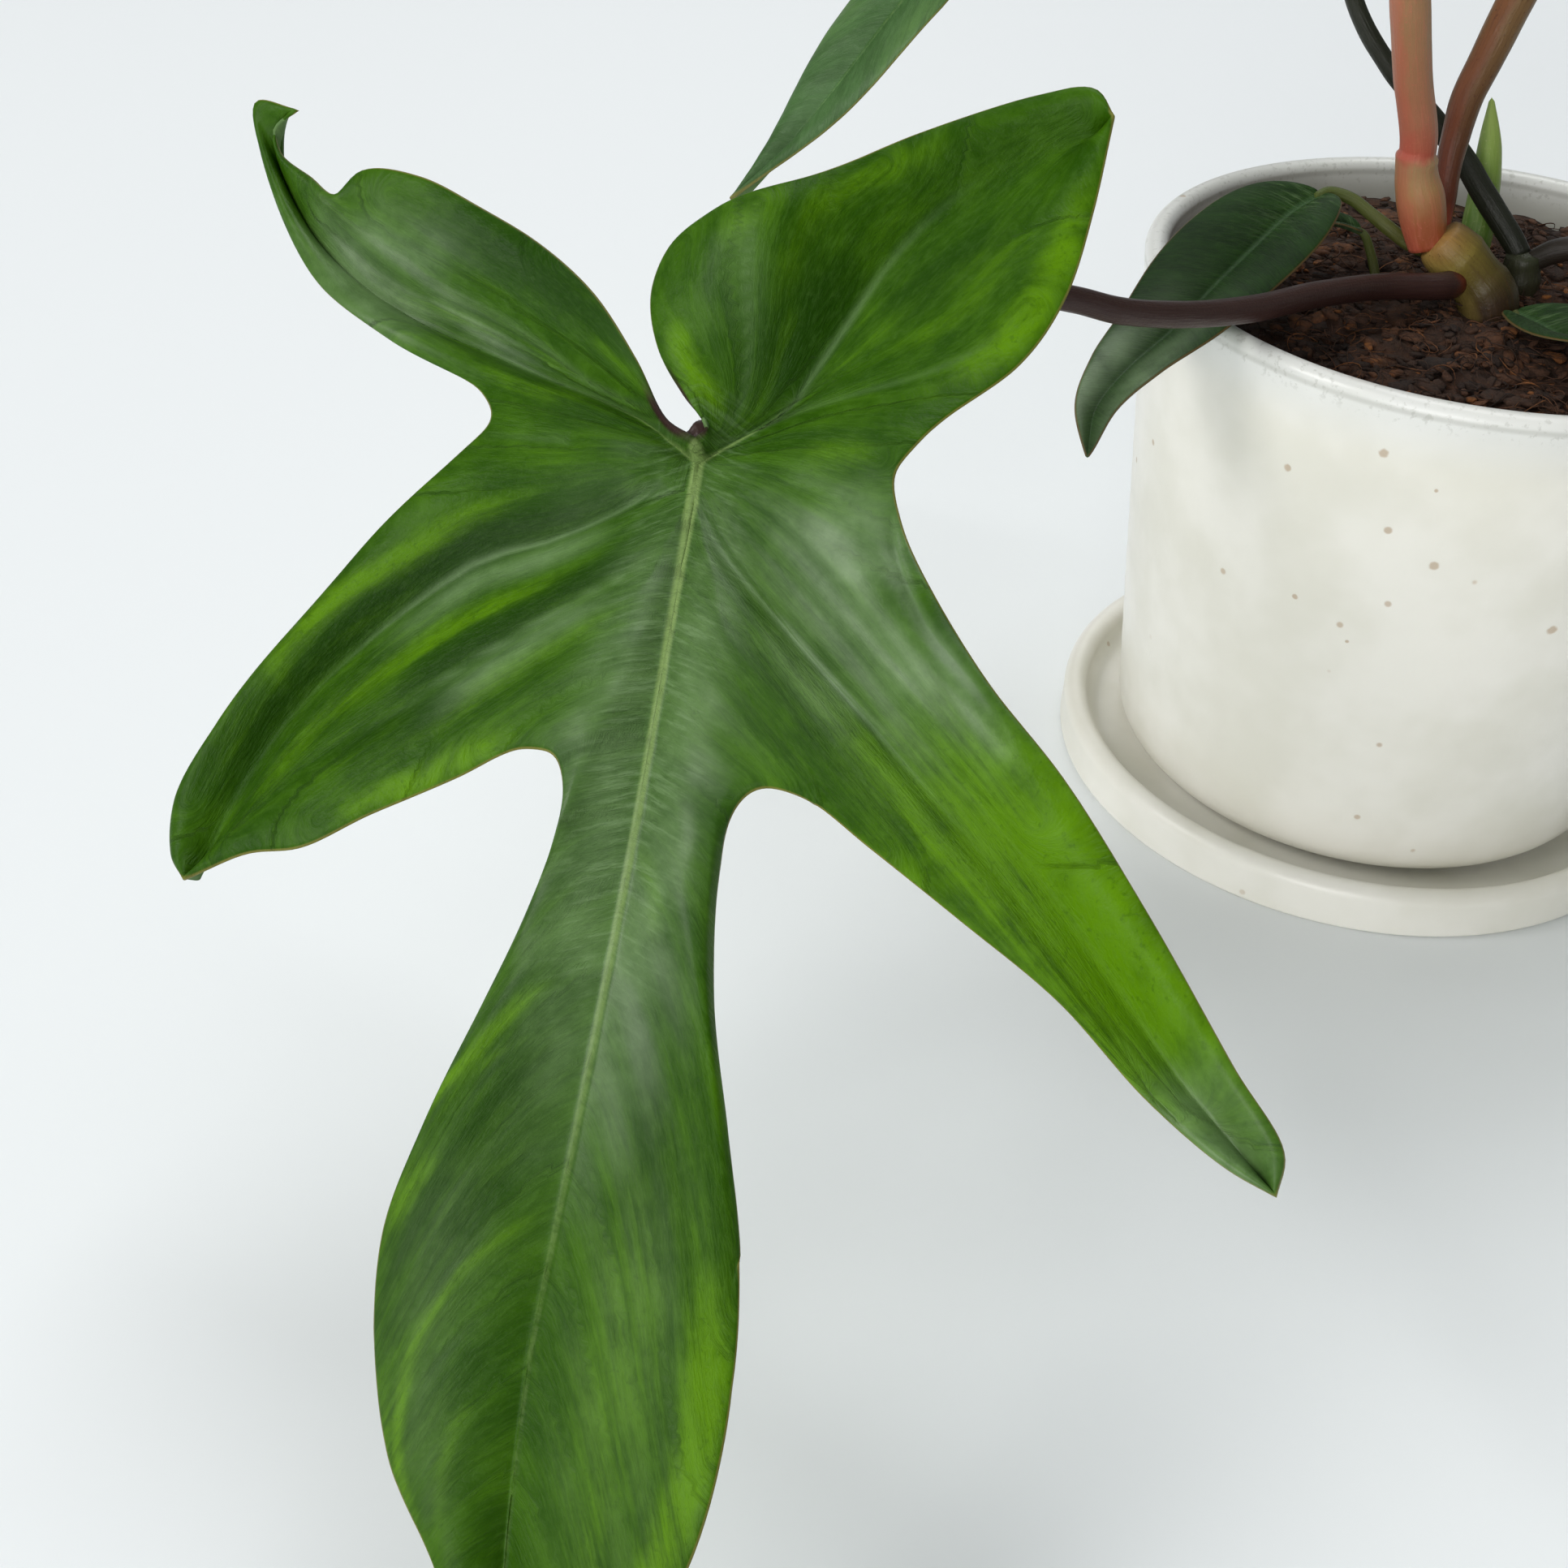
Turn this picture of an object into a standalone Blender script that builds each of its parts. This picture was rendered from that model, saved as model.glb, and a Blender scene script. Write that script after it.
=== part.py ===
"""A potted lobed-leaf philodendron: saucer, pot, soil, stems, leaf stalks and leaves.

Lengths below are in millimetres and become metres when a mesh is made. +Z is up, and the origin is
on the pot's axis at the floor. Each piece is one closed solid, and neighbours stay GAP apart.
"""

import math

import bpy
import numpy as np

MM = 0.001
GAP = 0.3
CUTTER_GROWTH = 0.4  # a cutter is this much larger than its piece, so that its flats too leave GAP

# Pot and saucer
POT_TOP_RADIUS = 65.0
POT_HEIGHT = 116.1  # the rim above the floor, with the pot in its saucer
POT_WALL = 4.6
POT_FLOOR = 5.0
POT_FOOT_RADIUS = 47.0
POT_KNEE_RADIUS = 55.2  # where the rounded foot meets the wall
POT_KNEE_HEIGHT = 13.0
INNER_BEND = 8.0
DRAIN_RADIUS = 6.0
LIP_ROUND = 2.2
SAUCER_RADIUS = 67.4
SAUCER_INNER_RADIUS = 62.2
SAUCER_HEIGHT = 10.7
SAUCER_FLOOR = 4.0
FOOT_ROUND = 1.4
SAUCER_BEND = 3.5  # inside, between its floor and its wall
TURN_STEPS = 56
POT_BASE = SAUCER_FLOOR + GAP

# Soil
SOIL_HEIGHT = 108.0
SOIL_CROWN = 1.6  # how much higher the middle is
SOIL_RELIEF = 0.8
SOIL_RINGS = 7

# Lobed blades, with the rows of faces along each lobe
BLADE_THICKNESS = 0.9
CENTRE_ROWS = 13
SIDE_ROWS = 10
BACK_ROWS = 9
BLADE_LENGTH = 180.0  # from the stalk's joint to the tip, at full size
WAVE_LENGTH = 46.0
ARCH_SPAN = 146.0  # how far along the midrib its arch comes back to the blade's plane
CUP_PLACE = (4.0, -28.0)  # the hollow in the back lobes, and its size both ways
CUP_SIZE = (14.0, 20.0)
SWAY_SPAN = 125.0  # the midrib's first swing, and how wide it is
SWAY_WIDTH = 2.5
HOOK_SPAN = 40.0  # the last stretch of the midrib, and how far aside its tip is
HOOK_WIDTH = 4.0

# Whole-edged young blades
YOUNG_THICKNESS = 0.8
YOUNG_ROWS = 14
YOUNG_FOLD = 0.35

STALK_TIP = 0.4  # height of the cone that ends a stalk, as a share of its radius
STALK_HEEL = 0.25  # and of the cone where it starts

# Materials: colour and roughness
GLAZE = ((0.80, 0.78, 0.72), 0.35)
SAUCER_GLAZE = ((0.76, 0.75, 0.69), 0.4)
BARK_MIX = ((0.045, 0.025, 0.016), 0.95)
LEAF_GREEN = ((0.035, 0.12, 0.015), 0.38)
YOUNG_GREEN = ((0.03, 0.085, 0.02), 0.42)
SHOOT_GREEN = ((0.14, 0.24, 0.04), 0.45)
STEM_OLIVE = ((0.11, 0.095, 0.02), 0.6)
STALK_PURPLE = ((0.05, 0.018, 0.016), 0.45)
STALK_PINK = ((0.52, 0.25, 0.15), 0.45)
STALK_BROWN = ((0.20, 0.08, 0.025), 0.45)
STALK_DARK = ((0.02, 0.022, 0.012), 0.45)
STALK_GREEN = ((0.09, 0.12, 0.02), 0.5)


def clear_scene():
    for thing in list(bpy.data.objects):
        bpy.data.objects.remove(thing, do_unlink=True)


def unit(vector):
    vector = np.asarray(vector, float)
    return vector / np.linalg.norm(vector)


def smooth_path(points, count):
    """A rounded curve through the points (centripetal Catmull-Rom), as count + 1 even steps along it."""
    points = np.asarray(points, float)
    points = np.vstack([2 * points[0] - points[1], points, 2 * points[-1] - points[-2]])
    knots = np.concatenate([[0], np.cumsum(np.linalg.norm(np.diff(points, axis=0), axis=1) ** 0.5)])
    curve = []
    for i in range(1, len(points) - 2):
        level = points[i - 1 : i + 3]
        times = knots[i - 1 : i + 3]
        t = np.linspace(times[1], times[2], 24, endpoint=False)[:, None]
        for reach in (1, 2, 3):
            starts = times[:-reach] if reach < 3 else times[1:2]
            ends = times[reach:] if reach < 3 else times[2:3]
            level = [
                (level[j] * (ends[j] - t) + level[j + 1] * (t - starts[j])) / (ends[j] - starts[j])
                for j in range(4 - reach)
            ]
        curve.append(level[0])
    curve = np.vstack([*curve, points[-2]])
    along = np.concatenate([[0], np.cumsum(np.linalg.norm(np.diff(curve, axis=0), axis=1))])
    wanted = np.linspace(0, along[-1], count + 1)
    return np.stack([np.interp(wanted, along, column) for column in curve.T], axis=1)


def arc(centre, radius, start, end, steps):
    """Points of an arc between two angles in degrees, as (radius, height) pairs."""
    angles = np.radians(np.linspace(start, end, steps + 1))
    return [(centre[0] + radius * math.cos(a), centre[1] + radius * math.sin(a)) for a in angles]


def make_material(name, finish):
    colour, roughness = finish
    material = bpy.data.materials.new(name)
    material.use_nodes = True
    shader = material.node_tree.nodes["Principled BSDF"]
    shader.inputs["Base Color"].default_value = (*colour, 1.0)
    shader.inputs["Roughness"].default_value = roughness
    shader.inputs["Metallic"].default_value = 0.0
    material.diffuse_color = (*colour, 1.0)
    return material


def make_object(name, points, triangles, finish):
    """An object from points in millimetres and triangles, with its faces turned outwards."""
    points = np.asarray(points, float) * MM
    triangles = np.asarray(triangles, int)
    if np.linalg.det(points[triangles]).sum() < 0:
        triangles = triangles[:, ::-1]
    mesh = bpy.data.meshes.new(name)
    mesh.from_pydata(points.tolist(), [], triangles.tolist())
    mesh.shade_smooth()
    mesh.set_sharp_from_angle(angle=math.radians(40))
    mesh.materials.append(make_material(name, finish))
    thing = bpy.data.objects.new(name, mesh)
    bpy.context.scene.collection.objects.link(thing)
    return thing


def grid_triangles(index, closed=False):
    """Triangles over a grid of point numbers, with its last column joined to its first if closed."""
    if closed:
        index = np.column_stack([index, index[:, 0]])
    a, b, c, d = index[:-1, :-1], index[:-1, 1:], index[1:, 1:], index[1:, :-1]
    halves = [np.stack(corners, axis=-1).reshape(-1, 3) for corners in ((a, b, c), (a, c, d))]
    return np.concatenate(halves)


def cut_clear(thing, neighbours):
    """Takes the slightly larger copy of each neighbour out of thing, which leaves GAP between them."""
    for neighbour in neighbours:
        neighbour.hide_render = True
        neighbour.display_type = "WIRE"
        boolean = thing.modifiers.new("clear of " + neighbour.name, "BOOLEAN")
        boolean.operation = "DIFFERENCE"
        boolean.solver = "EXACT"
        boolean.object = neighbour


def pot_inner_radius(height):
    """Radius of the pot's inner wall at a height above the floor."""
    slope = (POT_TOP_RADIUS - POT_KNEE_RADIUS) / (POT_HEIGHT - POT_KNEE_HEIGHT)
    return POT_TOP_RADIUS - POT_WALL - slope * (POT_HEIGHT - height)


def make_turned(name, profile, finish):
    """A solid turned about the Z axis from an open profile whose ends are closed by flat discs."""
    angles = np.linspace(0, math.tau, TURN_STEPS, endpoint=False)
    circle = np.stack([np.cos(angles), np.sin(angles), np.zeros(TURN_STEPS)], axis=1)
    rings = [circle * radius + (0, 0, height) for radius, height in profile]
    points = np.vstack([*rings, [0, 0, profile[0][1]], [0, 0, profile[-1][1]]])
    index = np.arange(len(profile) * TURN_STEPS).reshape(len(profile), TURN_STEPS)
    first, last = len(points) - 2, len(points) - 1
    around = np.roll(index, -1, axis=1)
    caps = [(first, b, a) for a, b in zip(index[0], around[0])]
    caps += [(last, a, b) for a, b in zip(index[-1], around[-1])]
    return make_object(name, points, np.vstack([grid_triangles(index, closed=True), caps]), finish)


def make_saucer():
    lip = (SAUCER_RADIUS - SAUCER_INNER_RADIUS) / 2
    lip_centre = (SAUCER_INNER_RADIUS + lip, SAUCER_HEIGHT - lip)
    profile = arc((SAUCER_INNER_RADIUS - SAUCER_BEND, SAUCER_FLOOR + SAUCER_BEND), SAUCER_BEND, -90, 0, 3)
    profile += arc(lip_centre, lip, 180, 0, 6)
    profile += arc((SAUCER_RADIUS - FOOT_ROUND, FOOT_ROUND), FOOT_ROUND, 0, -90, 2)
    return make_turned("saucer", profile, SAUCER_GLAZE)


def make_pot():
    """The pot as a closed profile round its drain hole, turned by a Screw modifier."""
    inner_lip_radius = POT_TOP_RADIUS - POT_WALL + LIP_ROUND
    floor_height = POT_BASE + POT_FLOOR
    low_inner = pot_inner_radius(floor_height + INNER_BEND) - INNER_BEND
    foot_width = POT_KNEE_RADIUS - POT_FOOT_RADIUS
    foot_rise = POT_KNEE_HEIGHT - POT_BASE
    profile = arc((POT_TOP_RADIUS - LIP_ROUND, POT_HEIGHT - LIP_ROUND), LIP_ROUND, 90, 0, 3)
    for x, z in arc((0, 0), 1, 0, -90, 3):
        profile.append((POT_FOOT_RADIUS + foot_width * x, POT_KNEE_HEIGHT + foot_rise * z))
    profile += [(DRAIN_RADIUS, POT_BASE), (DRAIN_RADIUS, floor_height)]
    profile += arc((low_inner, floor_height + INNER_BEND), INNER_BEND, -90, 0, 3)
    profile += arc((inner_lip_radius, POT_HEIGHT - LIP_ROUND), LIP_ROUND, 180, 90, 3)
    mesh = bpy.data.meshes.new("pot")
    points = [(radius * MM, 0.0, height * MM) for radius, height in profile]
    mesh.from_pydata(points, [(i, (i + 1) % len(points)) for i in range(len(points))], [])
    mesh.materials.append(make_material("pot", GLAZE))
    thing = bpy.data.objects.new("pot", mesh)
    bpy.context.scene.collection.objects.link(thing)
    screw = thing.modifiers.new("turn", "SCREW")
    screw.steps = TURN_STEPS
    screw.render_steps = TURN_STEPS
    screw.use_merge_vertices = True
    screw.merge_threshold = 0.00001
    screw.use_smooth_shade = True
    return thing


def soil_surface(x, y):
    """Height of the soil: a low crown with lumps as wide as bark chips."""
    crown = SOIL_CROWN * (1 - (x * x + y * y) / pot_inner_radius(SOIL_HEIGHT) ** 2)
    lumps = np.sin(x * 0.31 + 1.1) * np.cos(y * 0.27 - 0.4) + 0.6 * np.sin(x * 0.17 - y * 0.44 + 2.0)
    return SOIL_HEIGHT + crown + SOIL_RELIEF * lumps


def make_soil():
    """The soil fills the pot, a gap clear of its wall and floor."""
    clearance = GAP + 0.1
    floor_height = POT_BASE + POT_FLOOR + GAP
    low_radius = pot_inner_radius(floor_height + INNER_BEND) - clearance
    top_radius = pot_inner_radius(SOIL_HEIGHT) - clearance
    angles = np.linspace(0, math.tau, TURN_STEPS, endpoint=False)
    circle = np.stack([np.cos(angles), np.sin(angles)], axis=1)
    rings = []
    for share in np.linspace(1 / SOIL_RINGS, 1, SOIL_RINGS):
        flat = circle * top_radius * share
        rings.append(np.column_stack([flat, soil_surface(*flat.T)]))
    for radius, height in arc((low_radius - INNER_BEND, floor_height + INNER_BEND), INNER_BEND, 0, -90, 3):
        rings.append(np.column_stack([circle * radius, np.full(TURN_STEPS, height)]))
    points = np.vstack([*rings, [0, 0, soil_surface(0, 0)], [0, 0, floor_height]])
    index = np.arange(len(rings) * TURN_STEPS).reshape(len(rings), TURN_STEPS)
    around = np.roll(index, -1, axis=1)
    top, bottom = len(points) - 2, len(points) - 1
    caps = [(top, b, a) for a, b in zip(index[0], around[0])]
    caps += [(bottom, a, b) for a, b in zip(index[-1], around[-1])]
    return make_object("soil", points, np.vstack([grid_triangles(index, closed=True), caps]), BARK_MIX)


def make_stalk(name, stalk, grow=0.0):
    """A round stalk along the smooth curve through its (x, y, z, radius) points.

    With grow it is that much fatter and longer, to serve as the cutter of a neighbour."""
    sides = stalk["sides"]
    path = [*stalk["path"], seat(stalk)] if "carries" in stalk else stalk["path"]
    curve = smooth_path(path, stalk["rings"])
    centres, radius = curve[:, :3], curve[:, 3] + grow
    along = np.gradient(centres, axis=0)
    along /= np.linalg.norm(along, axis=1)[:, None]
    start = centres[0] - along[0] * (radius[0] * STALK_HEEL + grow)
    end = centres[-1] + along[-1] * (radius[-1] * STALK_TIP + grow)
    across = np.array([0.0, 1.0, 0.0])
    angles = np.linspace(0, math.tau, sides, endpoint=False)[:, None]
    circles = []
    for centre, direction, r in zip(centres, along, radius):
        across = unit(across - direction * (across @ direction))
        other = np.cross(direction, across)
        circles.append(centre + r * (np.cos(angles) * across + np.sin(angles) * other))
    points = np.vstack([*circles, start, end])
    index = np.arange(len(circles) * sides).reshape(len(circles), sides)
    around = np.roll(index, -1, axis=1)
    caps = [(len(points) - 2, b, a) for a, b in zip(index[0], around[0])]
    caps += [(len(points) - 1, a, b) for a, b in zip(index[-1], around[-1])]
    triangles = np.vstack([grid_triangles(index, closed=True), caps])
    return make_object(name, points, triangles, stalk["finish"])


# A lobed blade is drawn flat before it is bent. The stalk's joint is at (0, 0), v runs along the midrib to
# the tip, and u outwards from it. Each half gives its margin from the tip round to the notch at the joint.

WIDE_HALF = {
    "centre": [(0, 180), (9, 170), (18.5, 156), (24.5, 143), (26.5, 128), (24.5, 112), (19.5, 95),
               (14.5, 79), (12.3, 65), (13.2, 55)],
    "side_lower": [(16, 52), (22.5, 53.5), (31.5, 59), (43.5, 66.5), (56.5, 75), (68, 85), (78, 91.5)],
    "side_tip": (84.2, 94),
    "side_upper": [(84.5, 89), (77.7, 80), (65.5, 62.5), (54.7, 48), (44, 36), (35.6, 24), (30.6, 15)],
    "back_outer": [(28, 7), (34, -2), (43, -12.5), (48, -23), (50.5, -35)],
    "back_tip": (52, -49),
    "back_inner": [(49, -53), (41, -52), (25, -45), (10, -36), (-2, -31), (-8, -27), (-10, -20),
                   (-7.5, -11), (-2.5, -4), (1.5, 0)],
    "side_rib": [(7.8, 19), (21, 34), (36.7, 47), (52.5, 61), (69.7, 80), (83.2, 93)],
    "back_rib": [(8, -1.5), (14, -9), (20, -22), (30, -34), (42, -44), (51, -49.3)],
}
CURLED_HALF = {
    "centre": [(0, 180), (2.6, 167), (7.6, 151.5), (15.5, 139.5), (20, 127), (21.7, 114), (19, 100),
               (15, 84), (10.6, 68), (9.2, 55.5)],
    "side_lower": [(11.3, 50.2), (17.4, 50.2), (25.5, 54.5), (36.5, 60.5), (45.5, 66), (54.5, 67.5)],
    "side_tip": (64, 71.5),
    "side_upper": [(67.5, 68), (69, 60), (64.4, 49), (57, 35), (47.2, 20), (36.5, 8)],
    "back_outer": [(30.5, 0), (35, -5.5), (52, -14), (67, -24), (77, -36), (83, -48), (84.5, -55)],
    "back_tip": (76, -53),
    "back_inner": [(80.5, -51), (79.5, -47.5), (73, -43), (67.5, -39.5), (63, -42.5), (52, -40.5),
                   (42, -36), (31, -30), (20, -21), (11, -10), (5, -1)],
    "side_rib": [(8.7, 12), (18, 17), (28.3, 22), (38.7, 29), (47, 37), (55.3, 47), (61, 62), (63.4, 70.6)],
    "back_rib": [(8, -1), (16, -5), (31, -11), (50, -19), (69, -31), (79, -43), (82, -52.5)],
}
PLAIN_HALF = {
    **WIDE_HALF,
    "back_inner": [(49, -53), (41, -52), (27, -46), (14, -38), (7, -28), (4.5, -18), (4, -9), (2.5, -1)],
}
NOTCH = (0, 2)
RIB_ROOT = (0, 5)
SIDE_BRANCH = (0, 10)


def half_rows(half, side):
    """The rows of one half, from the centre lobe's tip round to the notch: rib ends and margin ends."""
    flip = np.array([side, 1])
    midrib = smooth_path([(0, BLADE_LENGTH - 1.2), SIDE_BRANCH], CENTRE_ROWS)
    side_rib = smooth_path([SIDE_BRANCH, *half["side_rib"]], SIDE_ROWS)
    back_rib = smooth_path([RIB_ROOT, *half["back_rib"]], BACK_ROWS)
    ribs = np.vstack([midrib, side_rib[1:], side_rib[-2::-1], back_rib, back_rib[-2::-1]])
    first = smooth_path([*half["centre"], half["side_lower"][0]], CENTRE_ROWS)
    second = smooth_path([*half["side_lower"], half["side_tip"]], SIDE_ROWS)
    third = smooth_path([half["side_tip"], *half["side_upper"], half["back_outer"][0]], SIDE_ROWS)
    fourth = smooth_path([*half["back_outer"], half["back_tip"]], BACK_ROWS + 1)
    fifth = smooth_path([half["back_tip"], *half["back_inner"], NOTCH], BACK_ROWS)
    margin = np.vstack([first, second[1:], third[1:], fourth[1:], fifth[1:]])
    return ribs * flip, margin * flip


def sway(v):
    """How far the midrib strays sideways along the blade."""
    swing = SWAY_WIDTH * np.sin(math.pi * np.clip(v, 0, SWAY_SPAN) / SWAY_SPAN)
    return swing + HOOK_WIDTH * (np.maximum(v - BLADE_LENGTH + HOOK_SPAN, 0) / HOOK_SPAN) ** 2


def bend(u, v, form):
    """How far the blade stands off its plane: arched to the tip, drooping sideways, lifted behind."""
    along = form["arch"] * ARCH_SPAN * v + np.where(v > 0, -form["arch"], form["lift"]) * v * v
    away = ((u - CUP_PLACE[0]) / CUP_SIZE[0]) ** 2 + ((v - CUP_PLACE[1]) / CUP_SIZE[1]) ** 2
    return along - form["droop"] * u * u + form["cup"] * np.exp(-away)


def blade_axes(leaf):
    """The blade's own axes: across, towards the tip and out of its upper side."""
    tip = unit(leaf["tip"])
    face = unit(leaf["face"] - tip * np.dot(leaf["face"], tip))
    return np.stack([np.cross(face, tip), tip, face])


def seat(stalk):
    """The last point of a stalk that carries a lobed blade: a gap under the root of the blade's ribs."""
    leaf, radius, start = stalk["carries"], stalk["end_radius"], stalk["path"][-1]
    axes = blade_axes(leaf)
    root = np.array([0, RIB_ROOT[1], bend(0.0, RIB_ROOT[1], leaf["form"])]) * leaf["scale"]
    root = leaf["joint"] + root @ axes
    rise = unit(root - start[:3]) @ axes[2]
    reach = radius * max(STALK_TIP * rise, math.sqrt(1 - rise * rise))
    return (*(root - axes[2] * (reach + BLADE_THICKNESS / 2 + GAP)), radius)


def make_lobed_blade(name, leaf):
    """A lobed blade in straight rows from ribs to margin, bent, placed and given its thickness."""
    form, scale = leaf["form"], leaf["scale"]
    left_ribs, left_margin = half_rows(leaf["halves"][0], -1)
    right_ribs, right_margin = half_rows(leaf["halves"][1], 1)
    ribs = np.vstack([right_ribs, left_ribs[-2::-1]])
    margin = np.vstack([right_margin, left_margin[-2::-1]])
    share = np.linspace(0, 1, leaf["columns"] + 1)
    margin = ribs + form["slim"] * (margin - ribs)
    flat = ribs[:, None] + share[None, :, None] * (margin - ribs)[:, None]
    u, v = flat[..., 0], flat[..., 1]
    along_margin = np.concatenate([[0], np.cumsum(np.linalg.norm(np.diff(margin, axis=0), axis=1))])
    wave = np.sin(along_margin * math.tau / WAVE_LENGTH + form["phase"])[:, None]
    height = bend(u, v, form) + form["trough"] * (1 - (1 - share) ** 2)
    height = height - form["roll"] * share**5 + form["wave"] * share**2 * wave
    surface = np.stack([u + form["sway"] * sway(v), v, height], axis=-1) * scale
    keys = np.round(flat.reshape(-1, 2), 3)
    _, chosen, index = np.unique(keys, axis=0, return_index=True, return_inverse=True)
    surface = surface.reshape(-1, 3)[chosen]
    grid = index.reshape(flat.shape[:2])
    skin = grid_triangles(grid)
    distinct = (skin[:, 0] != skin[:, 1]) & (skin[:, 1] != skin[:, 2]) & (skin[:, 0] != skin[:, 2])
    skin = skin[distinct]
    count = len(surface)
    here, there = grid[:-1, -1], grid[1:, -1]
    edge = np.concatenate([np.stack([here, there, there + count], axis=1),
                           np.stack([here, there + count, here + count], axis=1)])
    lift = np.array([0, 0, BLADE_THICKNESS / 2])
    local = np.vstack([surface + lift, surface - lift])
    triangles = np.vstack([skin[:, ::-1], skin + count, edge])
    return make_object(name, leaf["joint"] + local @ blade_axes(leaf), triangles, LEAF_GREEN)


def make_young_blade(name, midrib, width):
    """A whole-edged pointed blade along a curved midrib, folded up to both sides of it.

    Its half width at share s of the length is width * sin(pi * s ** 0.6) ** 0.8."""
    centres = smooth_path(midrib, YOUNG_ROWS)
    along = np.gradient(centres, axis=0)
    along /= np.linalg.norm(along, axis=1)[:, None]
    across = np.cross((0, 0, 1), along)
    across /= np.linalg.norm(across, axis=1)[:, None]
    normal = np.cross(along, across)
    s = np.linspace(0.004, 0.997, YOUNG_ROWS + 1)
    half = width * np.sin(math.pi * s**0.6) ** 0.8 + 0.3
    share = np.array([-1, -0.5, 0, 0.5, 1.0])
    rise = YOUNG_FOLD * half[:, None] * (1.25 * np.abs(share) - 0.45 * share**4)
    middle = centres[:, None] + (half[:, None] * share)[..., None] * across[:, None]
    middle = middle + rise[..., None] * normal[:, None]
    lift = normal[:, None] * YOUNG_THICKNESS / 2
    top = (middle + lift).reshape(-1, 3)
    points = np.vstack([top, (middle - lift).reshape(-1, 3)])
    grid = np.arange(len(top)).reshape(middle.shape[:2])
    rim = np.concatenate([grid[0, :], grid[1:, -1], grid[-1, -2::-1], grid[-2:0:-1, 0]])
    after = np.roll(rim, -1)
    count = len(top)
    edge = np.concatenate([np.stack([rim, after + count, after], axis=1),
                           np.stack([rim, rim + count, after + count], axis=1)])
    skin = grid_triangles(grid)
    return make_object(name, points, np.vstack([skin, skin[:, ::-1] + count, edge]), YOUNG_GREEN)


# Stems and stalks: points of the middle line, each with the radius there

MAIN_STEM = [(3.5, -2.4, 90, 6), (3.6, -2.4, 103, 6.1), (2.4, -2.1, 111.5, 6.6), (-1, -1, 115.6, 5.8),
             (-4.5, 0, 118.4, 6.3), (-7.5, 0.8, 120.7, 5.7), (-9.3, 1.3, 122.1, 4.8)]
SIDE_STEM = [(12.5, 8, 92, 3.8), (12.2, 8.4, 103, 3.8), (11.8, 8.6, 111, 4), (11.6, 8.8, 114, 3.6),
             (11.3, 9, 117.2, 3.5)]
NEW_SHOOT = [(4.5, 19, 96, 3), (4.8, 20, 108, 3.2), (5.2, 21.7, 116, 3.3), (5.6, 24.2, 121, 3.2),
             (5.7, 26.8, 126.8, 2.8), (5.5, 29.4, 132.6, 2.1), (4.7, 32.3, 139.7, 0.5)]
SMALL_STALK = [(-17, 4.5, 98, 1), (-17.2, 4.8, 106, 1), (-18.2, 6, 112, 1), (-19.6, 8.8, 116, 0.9),
               (-20.6, 10.5, 118, 0.8)]
SOIL_STALK = [(12.5, -5, 98, 1), (12.5, -5.5, 105, 1), (11, -7, 110.2, 1), (8, -8.8, 111.6, 0.9),
              (6.9, -9.5, 111.8, 0.8)]

FRONT_STALK = [(-2.5, -3.6, 114.6, 2.9), (-7.3, -6.5, 115.4, 2.6), (-14.1, -8.7, 115.8, 2.55),
               (-21.6, -11.8, 116.7, 2.5), (-37.5, -25.6, 120.1, 2.45), (-52.3, -40, 122.8, 2.4),
               (-66.3, -52.3, 126.4, 2.3), (-79.1, -61.7, 130.5, 2.25), (-87.7, -66.5, 134.1, 2.2),
               (-105, -76, 139.8, 2.1), (-121, -89, 142.2, 2), (-134, -102.5, 140, 1.95),
               (-140.8, -110.5, 137.8, 1.9), (-143.8, -119.5, 135.2, 1.85)]
PINK_STALK = [(-10.9, 2.2, 120.5, 2.2), (-12, 3, 124, 4.3), (-13.6, 3.5, 128.5, 5.2),
              (-15.2, 3.7, 132.3, 4.5), (-16, 3.5, 135, 3.6), (-17, 2.7, 140.6, 3.5),
              (-21.4, 0.4, 152.3, 3.5), (-26.4, -3.3, 167.2, 3.6), (-38, -9, 205, 3.2),
              (-46.5, -10, 242, 2.8), (-50.5, -10.5, 256, 2.5)]
BROWN_STALK = [(-7.5, 6, 121.5, 1.6), (-6.4, 11.1, 125.3, 1.8), (-6.2, 14.6, 132.2, 1.95),
               (-5.8, 16.1, 136.6, 2.4), (-5.2, 16.9, 144.3, 3), (-3.3, 17.4, 151.5, 3.3),
               (-0.3, 18.3, 162.5, 3.5), (10, 19, 200, 3.3), (26, 17, 240, 3), (36, 15.5, 256, 2.7)]
DARK_STALK = [(9.4, 11.2, 118.2, 2.3), (5.5, 15.4, 122.6, 2.4), (2.4, 18.8, 126.2, 2.4),
              (-0.5, 22.2, 129.8, 2.35), (-8, 27.4, 136.9, 2.2), (-17.2, 32.1, 144.7, 1.9),
              (-25.5, 38.2, 155.6, 1.8), (-30, 52, 175, 1.8), (-33, 70, 195, 1.8), (-34.5, 81, 207, 1.7)]
LOW_STALK = [(13.8, 8.2, 115.8, 2.2), (16.2, 7.4, 117.8, 2.4), (18.7, 6.4, 119.1, 2.4), (30, 2.5, 122, 2.3),
             (55, -6, 127.5, 2.2), (80, -16, 130.2, 2.1), (93, -22, 129, 2)]
RIM_STALK = [(-6.5, 3, 117.5, 1.3), (-12.8, 5.9, 118.5, 1.35), (-16.6, 7.3, 120.6, 1.4),
             (-20.6, 9.6, 122.8, 1.3), (-24.5, 12, 124.8, 1.2), (-29, 12.9, 125.6, 1.1)]

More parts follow.
